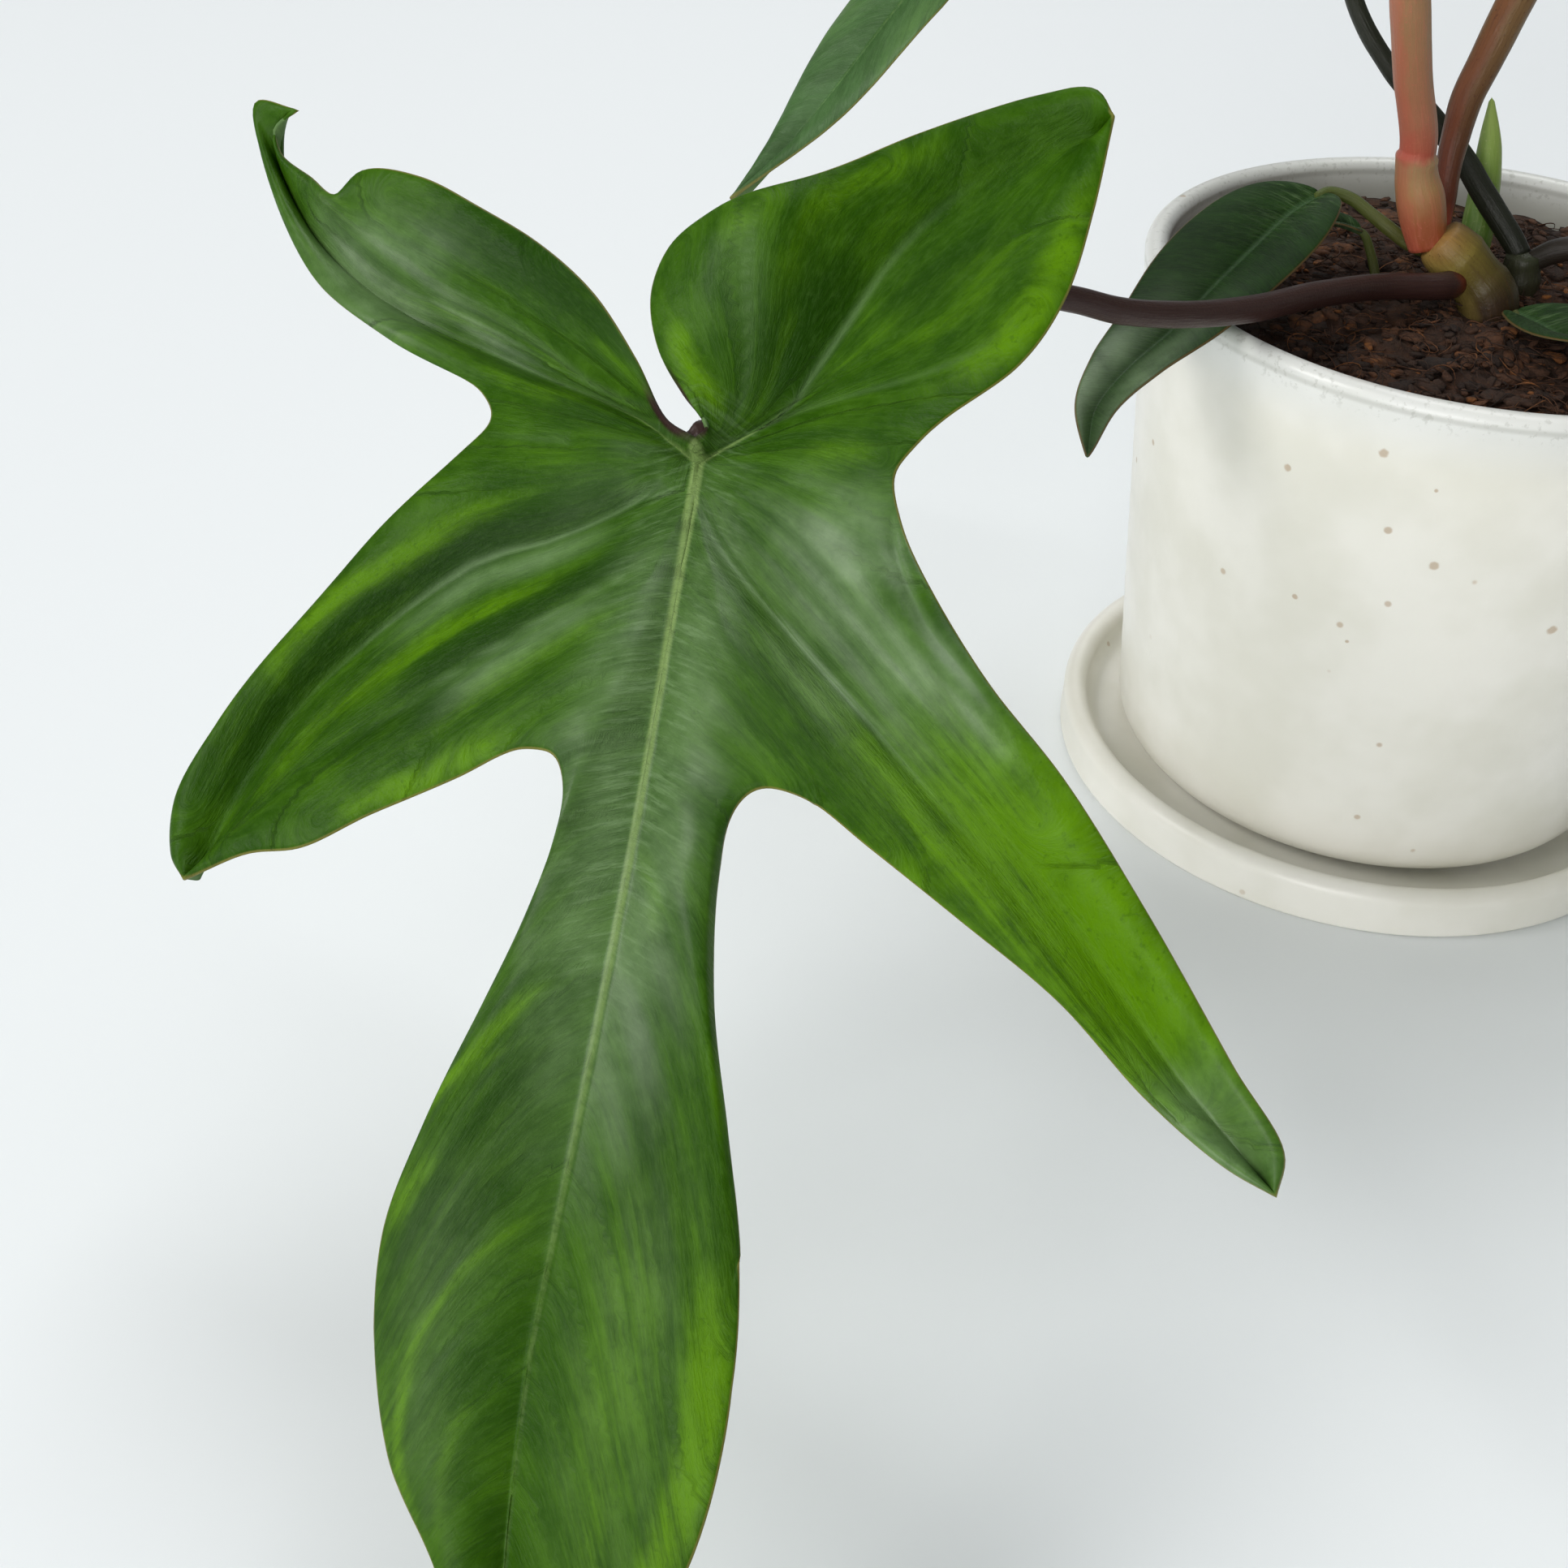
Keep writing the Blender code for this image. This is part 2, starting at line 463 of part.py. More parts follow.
# Young leaves: their midribs
RIM_BLADE = [(-30.6, 12.3, 125.2), (-38, 4.1, 124), (-47, -8.4, 121.2), (-54.7, -19.7, 118.9),
             (-65.3, -35.7, 115.4), (-74.1, -46.7, 112.4), (-79.8, -56, 109.2), (-81.6, -65.9, 105.4)]
SMALL_BLADE = [(-21.4, 11, 118.6), (-25.9, 11.1, 119.8), (-30.5, 10.2, 120.3), (-34.5, 8.8, 119)]
SOIL_BLADE = [(5.2, -10.8, 112.4), (8.5, -17, 112.8), (11.5, -24.5, 113.6), (19, -34, 116.8),
              (30, -44.5, 119.6), (41, -52.5, 119.3), (49, -58, 115.5), (55, -62, 108)]
RIM_WIDTH = 12.5
SMALL_WIDTH = 3.6
SOIL_WIDTH = 12.0

# How each lobed blade is bent
FRONT_FORM = {"arch": 0.0011, "lift": 0.004, "droop": 0.0011, "cup": 7.0, "trough": 4.0, "roll": 1.0,
              "wave": 0.8, "phase": 0.6, "sway": 1.0, "slim": 1.0}
UPRIGHT_FORM = {"arch": 0.0014, "lift": 0.003, "droop": 0.0016, "cup": 3.0, "trough": 5.0, "roll": 1.5,
                "wave": 1.5, "phase": 2.0, "sway": -1.0, "slim": 0.95}
SIDE_FORM = {"arch": 0.0016, "lift": 0.004, "droop": 0.0014, "cup": 4.0, "trough": 4.0, "roll": 2.0,
             "wave": 2.0, "phase": 4.0, "sway": 1.5, "slim": 0.95}
BACK_FORM = {"arch": 0.0012, "lift": 0.003, "droop": 0.0006, "cup": 3.0, "trough": 3.0, "roll": 1.5,
             "wave": 0.6, "phase": 1.0, "sway": -1.5, "slim": 0.55}
LOW_FORM = {"arch": 0.0015, "lift": 0.004, "droop": 0.0018, "cup": 3.0, "trough": 4.0, "roll": 1.5,
            "wave": 1.6, "phase": 3.0, "sway": -1.0, "slim": 0.95}

# Each lobed leaf: its halves, where the stalk meets it, the ways its tip and its upper side look, its size
FRONT_LEAF = {"halves": (CURLED_HALF, WIDE_HALF), "joint": (-145, -125, 136.5), "tip": (-0.1, -0.787, -0.609),
              "face": (-0.248, -0.573, 0.781), "scale": 1.0, "form": FRONT_FORM, "columns": 3}
UPRIGHT_LEAF = {"halves": (PLAIN_HALF, PLAIN_HALF), "joint": (-57, -13, 266), "tip": (-0.72, -0.42, -0.55),
                "face": (-0.35, -0.3, 0.89), "scale": 0.7, "form": UPRIGHT_FORM, "columns": 2}
SIDE_LEAF = {"halves": (PLAIN_HALF, CURLED_HALF), "joint": (44, 13, 271), "tip": (0.8, -0.25, -0.55),
             "face": (0.45, -0.25, 0.86), "scale": 0.95, "form": SIDE_FORM, "columns": 2}
BACK_LEAF = {"halves": (PLAIN_HALF, PLAIN_HALF), "joint": (-35, 91.4, 220), "tip": (-0.66, -0.46, -0.59),
             "face": (-0.53, -0.31, 0.79), "scale": 0.95, "form": BACK_FORM, "columns": 2}
LOW_LEAF = {"halves": (PLAIN_HALF, PLAIN_HALF), "joint": (104, -27, 130), "tip": (0.66, -0.6, -0.45),
            "face": (0.35, -0.3, 0.89), "scale": 0.78, "form": LOW_FORM, "columns": 2}

# Each stem or stalk: its path, how finely it is made, its finish, and the lobed leaf that it carries
STALKS = {
    "main_stem": {"path": MAIN_STEM, "sides": 12, "rings": 12, "finish": STEM_OLIVE},
    "side_stem": {"path": SIDE_STEM, "sides": 10, "rings": 8, "finish": STEM_OLIVE},
    "new_shoot": {"path": NEW_SHOOT, "sides": 10, "rings": 10, "finish": SHOOT_GREEN},
    "rim_stalk": {"path": RIM_STALK, "sides": 8, "rings": 8, "finish": STALK_GREEN},
    "small_stalk": {"path": SMALL_STALK, "sides": 6, "rings": 8, "finish": STALK_GREEN},
    "soil_stalk": {"path": SOIL_STALK, "sides": 6, "rings": 8, "finish": STALK_GREEN},
    "front_stalk": {"path": FRONT_STALK, "sides": 10, "rings": 20, "finish": STALK_PURPLE,
                    "carries": FRONT_LEAF, "end_radius": 1.8},
    "pink_stalk": {"path": PINK_STALK, "sides": 10, "rings": 24, "finish": STALK_PINK,
                   "carries": UPRIGHT_LEAF, "end_radius": 2.3},
    "brown_stalk": {"path": BROWN_STALK, "sides": 10, "rings": 16, "finish": STALK_BROWN,
                    "carries": SIDE_LEAF, "end_radius": 2.4},
    "dark_stalk": {"path": DARK_STALK, "sides": 10, "rings": 16, "finish": STALK_DARK,
                   "carries": BACK_LEAF, "end_radius": 1.6},
    "low_stalk": {"path": LOW_STALK, "sides": 10, "rings": 12, "finish": STALK_PURPLE,
                  "carries": LOW_LEAF, "end_radius": 1.9},
}

# The soil has a plain hole for what is rooted in it, and the other stalks end on what carries them
ROOTED = ("main_stem", "side_stem", "new_shoot", "small_stalk", "soil_stalk")
CARRIED_BY = {"front_stalk": ["main_stem"], "pink_stalk": ["main_stem"],
              "brown_stalk": ["main_stem", "pink_stalk"], "rim_stalk": ["main_stem", "pink_stalk"],
              "dark_stalk": ["side_stem"], "low_stalk": ["side_stem"]}


def make_all():
    clear_scene()
    make_saucer()
    make_pot()
    soil = make_soil()

    made = {name: make_stalk(name, stalk) for name, stalk in STALKS.items()}
    space = {name: make_stalk(name + "_space", STALKS[name], grow=CUTTER_GROWTH)
             for name in (*ROOTED, "pink_stalk")}
    cut_clear(soil, [space[name] for name in ROOTED])
    for name, carriers in CARRIED_BY.items():
        cut_clear(made[name], [space[carrier] for carrier in carriers])

    make_lobed_blade("front_leaf", FRONT_LEAF)
    make_lobed_blade("upright_leaf", UPRIGHT_LEAF)
    make_lobed_blade("side_leaf", SIDE_LEAF)
    make_lobed_blade("back_leaf", BACK_LEAF)
    make_lobed_blade("low_leaf", LOW_LEAF)
    make_young_blade("rim_leaf", RIM_BLADE, RIM_WIDTH)
    make_young_blade("small_leaf", SMALL_BLADE, SMALL_WIDTH)
    make_young_blade("soil_leaf", SOIL_BLADE, SOIL_WIDTH)


make_all()
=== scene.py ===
"""The looks of a potted philodendron with lobed leaves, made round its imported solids.

Lengths are in millimetres until a mesh is made. The leaves and stalks follow the same middle lines,
outlines and bends as the solids that they replace, with finer surfaces, veins, folds and finishes.
"""

import math
from collections import namedtuple

import bpy
import numpy as np
from mathutils import Matrix, Vector


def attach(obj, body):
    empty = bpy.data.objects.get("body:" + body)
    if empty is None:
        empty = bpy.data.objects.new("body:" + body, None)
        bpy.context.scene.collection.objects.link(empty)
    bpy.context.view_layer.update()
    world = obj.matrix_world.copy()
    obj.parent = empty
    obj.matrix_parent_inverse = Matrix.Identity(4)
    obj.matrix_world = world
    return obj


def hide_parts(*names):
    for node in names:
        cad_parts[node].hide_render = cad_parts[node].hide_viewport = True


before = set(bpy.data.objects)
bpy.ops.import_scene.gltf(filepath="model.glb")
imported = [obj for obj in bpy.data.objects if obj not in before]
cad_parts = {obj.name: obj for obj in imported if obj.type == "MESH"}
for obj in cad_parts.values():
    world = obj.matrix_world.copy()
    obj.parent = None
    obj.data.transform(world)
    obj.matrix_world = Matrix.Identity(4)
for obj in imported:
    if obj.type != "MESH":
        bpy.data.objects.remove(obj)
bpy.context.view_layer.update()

MM = 0.001


# Colour and shader tools

def tint(red, green, blue):
    """A colour given as a screen shows it, 0 to 255, as the linear light that Blender wants."""
    shares = [c / 255 for c in (red, green, blue)]
    return (*(s / 12.92 if s <= 0.04045 else ((s + 0.055) / 1.055) ** 2.4 for s in shares), 1.0)


class Shade:
    """A socket of a material's nodes. Sums and products of it add Math nodes; node() adds any other."""

    def __init__(self, tree, socket=None):
        self.tree = tree
        self.socket = socket

    def node(self, kind, settings=None, values=None, out=0):
        """A new node of that kind: its settings are set first, then its sockets are set or linked."""
        made = self.tree.nodes.new("ShaderNode" + kind)
        for key, value in (settings or {}).items():
            if key == "stops":
                while len(made.color_ramp.elements) < len(value):
                    made.color_ramp.elements.new(0.5)
                for element, (place, colour) in zip(made.color_ramp.elements, value):
                    element.position = place
                    element.color = colour
            else:
                setattr(made, key, value)
        for key, value in (values or {}).items():
            if isinstance(value, Shade):
                self.tree.links.new(value.socket, made.inputs[key])
            else:
                made.inputs[key].default_value = value
        return Shade(self.tree, made.outputs[out])

    def math(self, operation, *values):
        return self.node("Math", {"operation": operation}, dict(enumerate(values)))

    def vector(self, operation, *values, out=1):
        """A Vector Math node. Its output 1 is a number, such as a length, and its output 0 a vector."""
        return self.node("VectorMath", {"operation": operation}, dict(enumerate(values)), out)

    def __add__(self, other):
        return self.math("ADD", self, other)

    def __sub__(self, other):
        return self.math("SUBTRACT", self, other)

    def __rsub__(self, other):
        return self.math("SUBTRACT", other, self)

    def __mul__(self, other):
        return self.math("MULTIPLY", self, other)

    def __truediv__(self, other):
        return self.math("DIVIDE", self, other)

    def __rtruediv__(self, other):
        return self.math("DIVIDE", other, self)

    __radd__ = __add__
    __rmul__ = __mul__

    def clamp(self):
        return self.node("Clamp", values={0: self})

    def step(self, low, high):
        """0 below low, 1 above high and smooth between them; low may be the larger one."""
        if low > high:
            return 1 - self.step(high, low)
        return self.node("MapRange", {"interpolation_type": "SMOOTHSTEP"}, {0: self, 1: low, 2: high})

    def mark(self, name):
        """A value that the piece's mesh carries under that name."""
        return self.node("Attribute", {"attribute_name": name}, out=2)

    def place(self):
        """The point on the piece, in metres."""
        return self.node("TexCoord", out=3)

    def point(self, x, y, z):
        return self.node("CombineXYZ", values={0: x, 1: y, 2: z})

    def noise(self, where, scale, detail=2.0, roughness=0.5):
        values = {"Vector": where, "Scale": scale, "Detail": detail, "Roughness": roughness}
        return self.node("TexNoise", values=values)

    def mix(self, share, first, second):
        """The first colour where share is 0 and the second where it is 1."""
        return self.node("Mix", {"data_type": "RGBA"}, {0: share, 6: first, 7: second}, out=2)

    def ramp(self, value, stops):
        return self.node("ValToRGB", {"stops": stops}, {0: value})

    def bump(self, height, depth):
        """A normal tilted by height, whose step from 0 to 1 stands for depth in metres."""
        return self.node("Bump", values={"Height": height, "Distance": depth})


def make_finish(name, build, **surface):
    """A material from build(shade), which returns what varies; surface holds the sockets set once."""
    material = bpy.data.materials.new(name)
    material.use_nodes = True
    tree = material.node_tree
    shader = tree.nodes["Principled BSDF"]
    for key, value in surface.items():
        shader.inputs[key.replace("_", " ")].default_value = value
    for key, value in build(Shade(tree)).items():
        tree.links.new(value.socket, shader.inputs[key.replace("_", " ")])
    return material


# Mesh tools

CURVE_STEPS = 24  # between two given points of a path
LATTICE = 64  # random heights across and down, before lumps repeat


def clip(values):
    """The values, kept between 0 and 1."""
    return np.clip(values, 0, 1)


def rounded(share, least):
    """A quarter circle's height at share of its width, and at least the square root of least."""
    return np.sqrt(np.clip(1 - (1 - clip(share)) ** 2, least, 1))


def unit(vectors):
    """Each vector divided by its own length."""
    vectors = np.asarray(vectors, float)
    return vectors / np.linalg.norm(vectors, axis=-1, keepdims=True)


def distance_along(points, power=1.0):
    """How far along their line the points are, where each step counts as its length ** power."""
    steps = np.linalg.norm(np.diff(points, axis=0), axis=1)
    return np.concatenate([[0], np.cumsum(steps**power)])


def smooth_path(points, count):
    """A rounded curve through the points (centripetal Catmull-Rom), as count + 1 even steps along it.

    Between two points, three rounds of blending by time make one point of the four nearest."""
    points = np.asarray(points, float)
    points = np.vstack([2 * points[0] - points[1], points, 2 * points[-1] - points[-2]])
    knots = distance_along(points, 0.5)
    curve = []
    for i in range(1, len(points) - 2):
        level = points[i - 1 : i + 3]
        times = knots[i - 1 : i + 3]
        t = np.linspace(times[1], times[2], CURVE_STEPS, endpoint=False)[:, None]
        for starts, ends in ((times[:3], times[1:]), (times[:2], times[2:]), (times[1:2], times[2:3])):
            level = [(low * (end - t) + high * (t - start)) / (end - start)
                     for low, high, start, end in zip(level, level[1:], starts, ends)]
        curve.append(level[0])
    curve = np.vstack([*curve, points[-2]])
    along = distance_along(curve)
    wanted = np.linspace(0, along[-1], count + 1)
    return np.stack([np.interp(wanted, along, column) for column in curve.T], axis=1)


def arc(centre, radius, start, end, steps):
    """Points of an arc between two angles in degrees, as (radius, height) pairs."""
    angles = np.radians(np.linspace(start, end, steps + 1))
    return [(centre[0] + radius * math.cos(a), centre[1] + radius * math.sin(a)) for a in angles]


def ball_rings(around, up):
    """Rings of a unit ball, from the lowest, without its poles: even angles around it and up it."""
    a = np.linspace(0, math.tau, around, endpoint=False)
    e = np.linspace(-math.pi / 2, math.pi / 2, up + 1)[1:-1, None]
    return np.stack([np.cos(e) * np.cos(a), np.cos(e) * np.sin(a), np.sin(e) + 0 * a], axis=-1)


def grid_triangles(index, closed=False):
    """Triangles over a grid of point numbers, with its last column joined to its first if closed."""
    if closed:
        index = np.column_stack([index, index[:, 0]])
    a, b, c, d = index[:-1, :-1], index[:-1, 1:], index[1:, 1:], index[1:, :-1]
    halves = [np.stack(corners, axis=-1).reshape(-1, 3) for corners in ((a, b, c), (a, c, d))]
    return np.concatenate(halves)


def capped(rings, first, last):
    """Points and triangles of a skin over rings, each end closed by a fan round one more point."""
    count, sides = rings.shape[:2]
    index = np.arange(count * sides).reshape(count, sides)
    around = np.roll(index, -1, axis=1)
    fans = [np.stack([np.full(sides, count * sides), around[0], index[0]], axis=1),
            np.stack([np.full(sides, count * sides + 1), index[-1], around[-1]], axis=1)]
    return np.vstack([rings.reshape(-1, 3), first, last]), np.vstack([grid_triangles(index, True), *fans])


def lumps(x, y, width, seed):
    """Smooth seeded lumps about width across, -1 to 1: random heights on a lattice, blended between."""
    heights = np.random.default_rng(seed).uniform(-1, 1, (LATTICE, LATTICE))
    x, y = np.asarray(x) / width, np.asarray(y) / width
    column, row = np.floor(x).astype(int), np.floor(y).astype(int)
    across, up = x - column, y - row
    across, up = across * across * (3 - 2 * across), up * up * (3 - 2 * up)
    near, far = ([heights[(column + i) % LATTICE, (row + j) % LATTICE] for i in (0, 1)] for j in (0, 1))
    low, high = (pair[0] * (1 - across) + pair[1] * across for pair in (near, far))
    return low * (1 - up) + high * up


def point_normals(points, triangles):
    """The unit normal at each point: the sum of its triangles' normals, each by its area."""
    a, b, c = (points[triangles[:, k]] for k in range(3))
    faces = np.cross(b - a, c - a)
    corners = triangles.ravel()
    normals = np.stack([np.bincount(corners, np.repeat(way, 3), len(points)) for way in faces.T], axis=1)
    return normals / np.maximum(np.linalg.norm(normals, axis=1), 1e-12)[:, None]


def add_object(name, data):
    made = bpy.data.objects.new(name, data)
    bpy.context.scene.collection.objects.link(made)
    return made


def make_piece(name, points, triangles, finish, nodes=(), marks=None):
    """A piece of the object from points in millimetres, with marks, the values that its points carry."""
    points = np.asarray(points, float) * MM
    triangles = np.asarray(triangles, np.int32)
    if np.linalg.det(points[triangles]).sum() < 0:
        triangles = triangles[:, ::-1]
    mesh = bpy.data.meshes.new(name)
    mesh.vertices.add(len(points))
    mesh.vertices.foreach_set("co", points.astype(np.float32).ravel())
    mesh.loops.add(triangles.size)
    mesh.loops.foreach_set("vertex_index", np.ascontiguousarray(triangles).ravel())
    mesh.polygons.add(len(triangles))
    mesh.polygons.foreach_set("loop_start", np.arange(0, triangles.size, 3, dtype=np.int32))
    mesh.update(calc_edges=True)
    mesh.shade_smooth()
    for key, values in (marks or {}).items():
        attribute = mesh.attributes.new(key, "FLOAT", "POINT")
        attribute.data.foreach_set("value", np.asarray(values, np.float32).ravel())
    mesh.materials.append(finish)
    piece = add_object(name, mesh)
    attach(piece, "root")
    if nodes:
        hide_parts(*nodes)
    return piece


def make_shell(name, node, points, skin, rim, marks, finish):
    """A thin closed blade from the points of its upper face and then of its lower one.

    skin is a face's triangles, and rim the two ends of each step of its edge, where the wall stands.
    The marks hold on both faces, and one more, under, tells the lower face from the upper one."""
    count = len(points) // 2
    here, there = rim
    halves = ((here, there, there + count), (here, there + count, here + count))
    wall = [np.stack(corners, axis=1) for corners in halves]
    triangles = np.vstack([skin[:, ::-1], skin + count, *wall])
    a, b, c = triangles.T
    triangles = triangles[(a != b) & (b != c) & (a != c)]
    marks = {key: np.tile(np.ravel(values), 2) for key, values in marks.items()}
    marks["under"] = np.repeat([0.0, 1.0], count)
    return make_piece(name, points, triangles, finish, [node], marks)


# Pot and saucer

POT_TOP_RADIUS = 65.0
POT_HEIGHT = 116.1
POT_WALL = 4.6
POT_FLOOR = 5.0
POT_FOOT_RADIUS = 47.0
POT_KNEE_RADIUS = 55.2
POT_KNEE_HEIGHT = 13.0
INNER_BEND = 8.0
DRAIN_RADIUS = 6.0
LIP_ROUND = 2.2
LIP_LINE = 2.4  # a faint line in the glaze, this far under the lip
SAUCER_RADIUS = 67.4
SAUCER_INNER_RADIUS = 62.2
SAUCER_HEIGHT = 10.7
SAUCER_FLOOR = 4.0
FOOT_ROUND = 1.4
SAUCER_BEND = 3.5
POT_BASE = SAUCER_FLOOR + 0.3
POT_SLOPE = (POT_TOP_RADIUS - POT_KNEE_RADIUS) / (POT_HEIGHT - POT_KNEE_HEIGHT)
TURN_STEPS = 224
PROFILE_STEP = 1.9  # the most between two points of a turned profile
SWELL = 0.05
ROUND = np.linspace(0, math.tau, TURN_STEPS, endpoint=False)
GLAZE_RELIEF = 0.00012
CREAM = tint(240, 238, 229)
SHADED_CREAM = tint(229, 227, 215)
COOL_CREAM = tint(220, 224, 226)
GREY = tint(150, 150, 138)
TAN = tint(172, 140, 100)

# Tan specks in the pot's glaze that show from the front: angle round the pot, height and radius
SPECKS = [(-131.3, 95.7, 0.8), (-116.1, 104.8, 0.9), (-112.5, 89.5, 0.8), (-103.8, 84.0, 0.9),
          (-125.6, 69.3, 0.6), (-80.1, 71.5, 1.0), (-106.8, 99.7, 0.4), (-114.6, 63.2, 0.4),
          (35, 82, 0.9), (61, 95, 0.6), (112, 58, 1.0), (160, 88, 0.8), (-20, 66, 0.7)]


def pot_inner_radius(height):
    return POT_TOP_RADIUS - POT_WALL - POT_SLOPE * (POT_HEIGHT - height)


def fill_between(profile, step):
    """The profile with points no further apart than step, for relief between its corners."""
    dense = [profile[0]]
    for start, end in zip(profile, profile[1:]):
        count = max(1, math.ceil(math.dist(start, end) / step))
        dense += [tuple(np.add(start, np.subtract(end, start) * k / count)) for k in range(1, count + 1)]
    return dense


def round_rings(radius, height):
    """The points at those radii and heights, all the way round Z."""
    height = height + 0 * radius * ROUND
    return np.stack([radius * np.cos(ROUND), radius * np.sin(ROUND), height], axis=-1)


def turned(name, node, profile, closed, finish):
    """A turned piece: each profile point goes round Z, with the faint swells that a potter's hand leaves.

    These are SWELL * (sin(0.9 * height + 0.8 * sin(2 * angle)) - 1), and none near the axis or the foot."""
    profile = np.array(fill_between(profile, PROFILE_STEP))
    radius, height = profile[:, :1], profile[:, 1:]
    swell = SWELL * (np.sin(height * 0.9 + np.sin(ROUND * 2) * 0.8) - 1) * clip(radius / 20 - 1)
    rings = round_rings(radius + swell * clip((height - 2) / 4), height)
    if closed:
        index = np.arange(len(rings) * TURN_STEPS).reshape(-1, TURN_STEPS)
        points, triangles = rings.reshape(-1, 3), grid_triangles(np.vstack([index, index[:1]]), True)
    else:
        points, triangles = capped(rings, (0, 0, profile[0, 1]), (0, 0, profile[-1, 1]))
    return make_piece(name, points, triangles, finish, [node])


def make_saucer(finish):
    lip = (SAUCER_RADIUS - SAUCER_INNER_RADIUS) / 2
    profile = [(1.0, SAUCER_FLOOR)]
    inner_bend = (SAUCER_INNER_RADIUS - SAUCER_BEND, SAUCER_FLOOR + SAUCER_BEND)
    profile += arc(inner_bend, SAUCER_BEND, -90, 0, 10)
    profile += arc((SAUCER_INNER_RADIUS + lip, SAUCER_HEIGHT - lip), lip, 180, 0, 20)
    profile += arc((SAUCER_RADIUS - FOOT_ROUND, FOOT_ROUND), FOOT_ROUND, 0, -90, 8)
    profile.append((1.0, 0.0))
    return turned("saucer_dish", "saucer", profile, False, finish)


def make_pot(finish):
    inner_lip_radius = POT_TOP_RADIUS - POT_WALL + LIP_ROUND
    floor_height = POT_BASE + POT_FLOOR
    low_inner = pot_inner_radius(floor_height + INNER_BEND) - INNER_BEND
    foot_width = POT_KNEE_RADIUS - POT_FOOT_RADIUS
    foot_rise = POT_KNEE_HEIGHT - POT_BASE
    profile = arc((POT_TOP_RADIUS - LIP_ROUND, POT_HEIGHT - LIP_ROUND), LIP_ROUND, 90, 0, 12)
    for x, z in arc((0, 0), 1, 0, -90, 16):
        profile.append((POT_FOOT_RADIUS + foot_width * x, POT_KNEE_HEIGHT + foot_rise * z))
    profile += [(DRAIN_RADIUS, POT_BASE), (DRAIN_RADIUS, floor_height)]
    profile += arc((low_inner, floor_height + INNER_BEND), INNER_BEND, -90, 0, 8)
    profile += arc((inner_lip_radius, POT_HEIGHT - LIP_ROUND), LIP_ROUND, 180, 90, 12)
    return turned("pot_wall", "pot", profile, True, finish)


def glaze(shade, specks, shade_and_wear):
    """Cream glaze: cloudy tone, a cooler rim, fine tan specks everywhere and the larger ones in specks.

    The last argument is the share of grey in the pot's inner wall, which is painted shade, and in the chips
    along its rim, which are wear."""
    place = shade.place()
    height = shade.node("SeparateXYZ", values={0: place}, out=2) / MM
    cloud = shade.noise(place, 38.0, 3.0, 0.55)
    colour = shade.mix(cloud.step(0.35, 0.7), CREAM, SHADED_CREAM)
    colour = shade.mix(height.step(POT_HEIGHT - 14, POT_HEIGHT - 2) * 0.5, colour, COOL_CREAM)
    line = shade.math("ABSOLUTE", height - (POT_HEIGHT - LIP_LINE))
    colour = shade.mix(line.step(0.9, 0.1) * 0.35, colour, GREY)
    reach = shade.vector("LENGTH", shade.vector("MULTIPLY", place, (1, 1, 0), out=0)) / MM
    # Painted shade: grey over the pot's inner wall from a few millimetres under the rim down, where the
    # wall is in shade
    inside = (POT_TOP_RADIUS - (POT_HEIGHT - height) * POT_SLOPE - reach).step(2.2, 3.6)
    inner_wall_shade = inside * height.step(POT_HEIGHT - 1, POT_HEIGHT - 7)
    chips = shade.noise(place, 800.0, 3.0, 0.6).step(0.55, 0.66)
    chips = chips * height.step(POT_HEIGHT - 6, POT_HEIGHT - 3)
    colour = shade.mix((inner_wall_shade + chips * 0.45).clamp() * shade_and_wear, colour, GREY)
    cell = {"Vector": place, "Scale": 150.0}
    dots = shade.node("TexVoronoi", values=cell)
    chance = shade.node("SeparateColor", values={0: shade.node("TexVoronoi", values=cell, out=1)})
    spots = dots.step(0.13, 0.06) * chance.step(0.86, 0.88)
    colour = shade.mix(spots * 0.55, colour, TAN)
    for angle, z, radius in specks:
        reach = POT_TOP_RADIUS - POT_SLOPE * (POT_HEIGHT - z)
        angle = math.radians(angle)
        centre = (reach * math.cos(angle) * MM, reach * math.sin(angle) * MM, z * MM)
        gap = shade.vector("DISTANCE", place, centre) / (radius * MM)
        spot = (gap + (shade.noise(place, 900.0, 1.0) - 0.5) * 0.7).step(1.25, 0.6)
        spots = shade.math("MAXIMUM", spots, spot)
        colour = shade.mix(spot * 0.6, colour, TAN)
    grain = shade.noise(place, 520.0, 3.0, 0.6)
    skin = shade.noise(place, 90.0)
    return {"Base_Color": colour, "Roughness": 0.3 + cloud * 0.16 + spots * 0.2,
            "Normal": shade.bump(grain * 0.35 + skin - spots * 0.5, GLAZE_RELIEF)}


# Soil

SOIL_HEIGHT = 108.0
SOIL_CROWN = 1.6
SOIL_RELIEF = 0.8
SOIL_CLEAR = 0.4
SOIL_RINGS = 130
CHIPS = 2050
CHIP_SEED = 11
CHIP_SIDES = 8
CHIP_RISES = 6
CHIP_SQUARENESS = 0.7  # a power of the ball's coordinates: 1 leaves it round
CHIP_TILT = 0.35
FIBRES = 800
FIBRE_SEED = 23
CRUMBS = ((6, 3, 0.9), (2.4, 4, 0.6), (1.1, 5, 0.35))  # width, seed and rise of the bed's lumps
CHIP_RELIEF = 0.0004
BED_RELIEF = 0.0005
BARK_TONES = [(0.1, tint(28, 16, 9)), (0.5, tint(56, 34, 20)), (0.85, tint(88, 54, 31)),
              (1.0, tint(150, 92, 40))]
PIT_BROWN = tint(22, 13, 8)


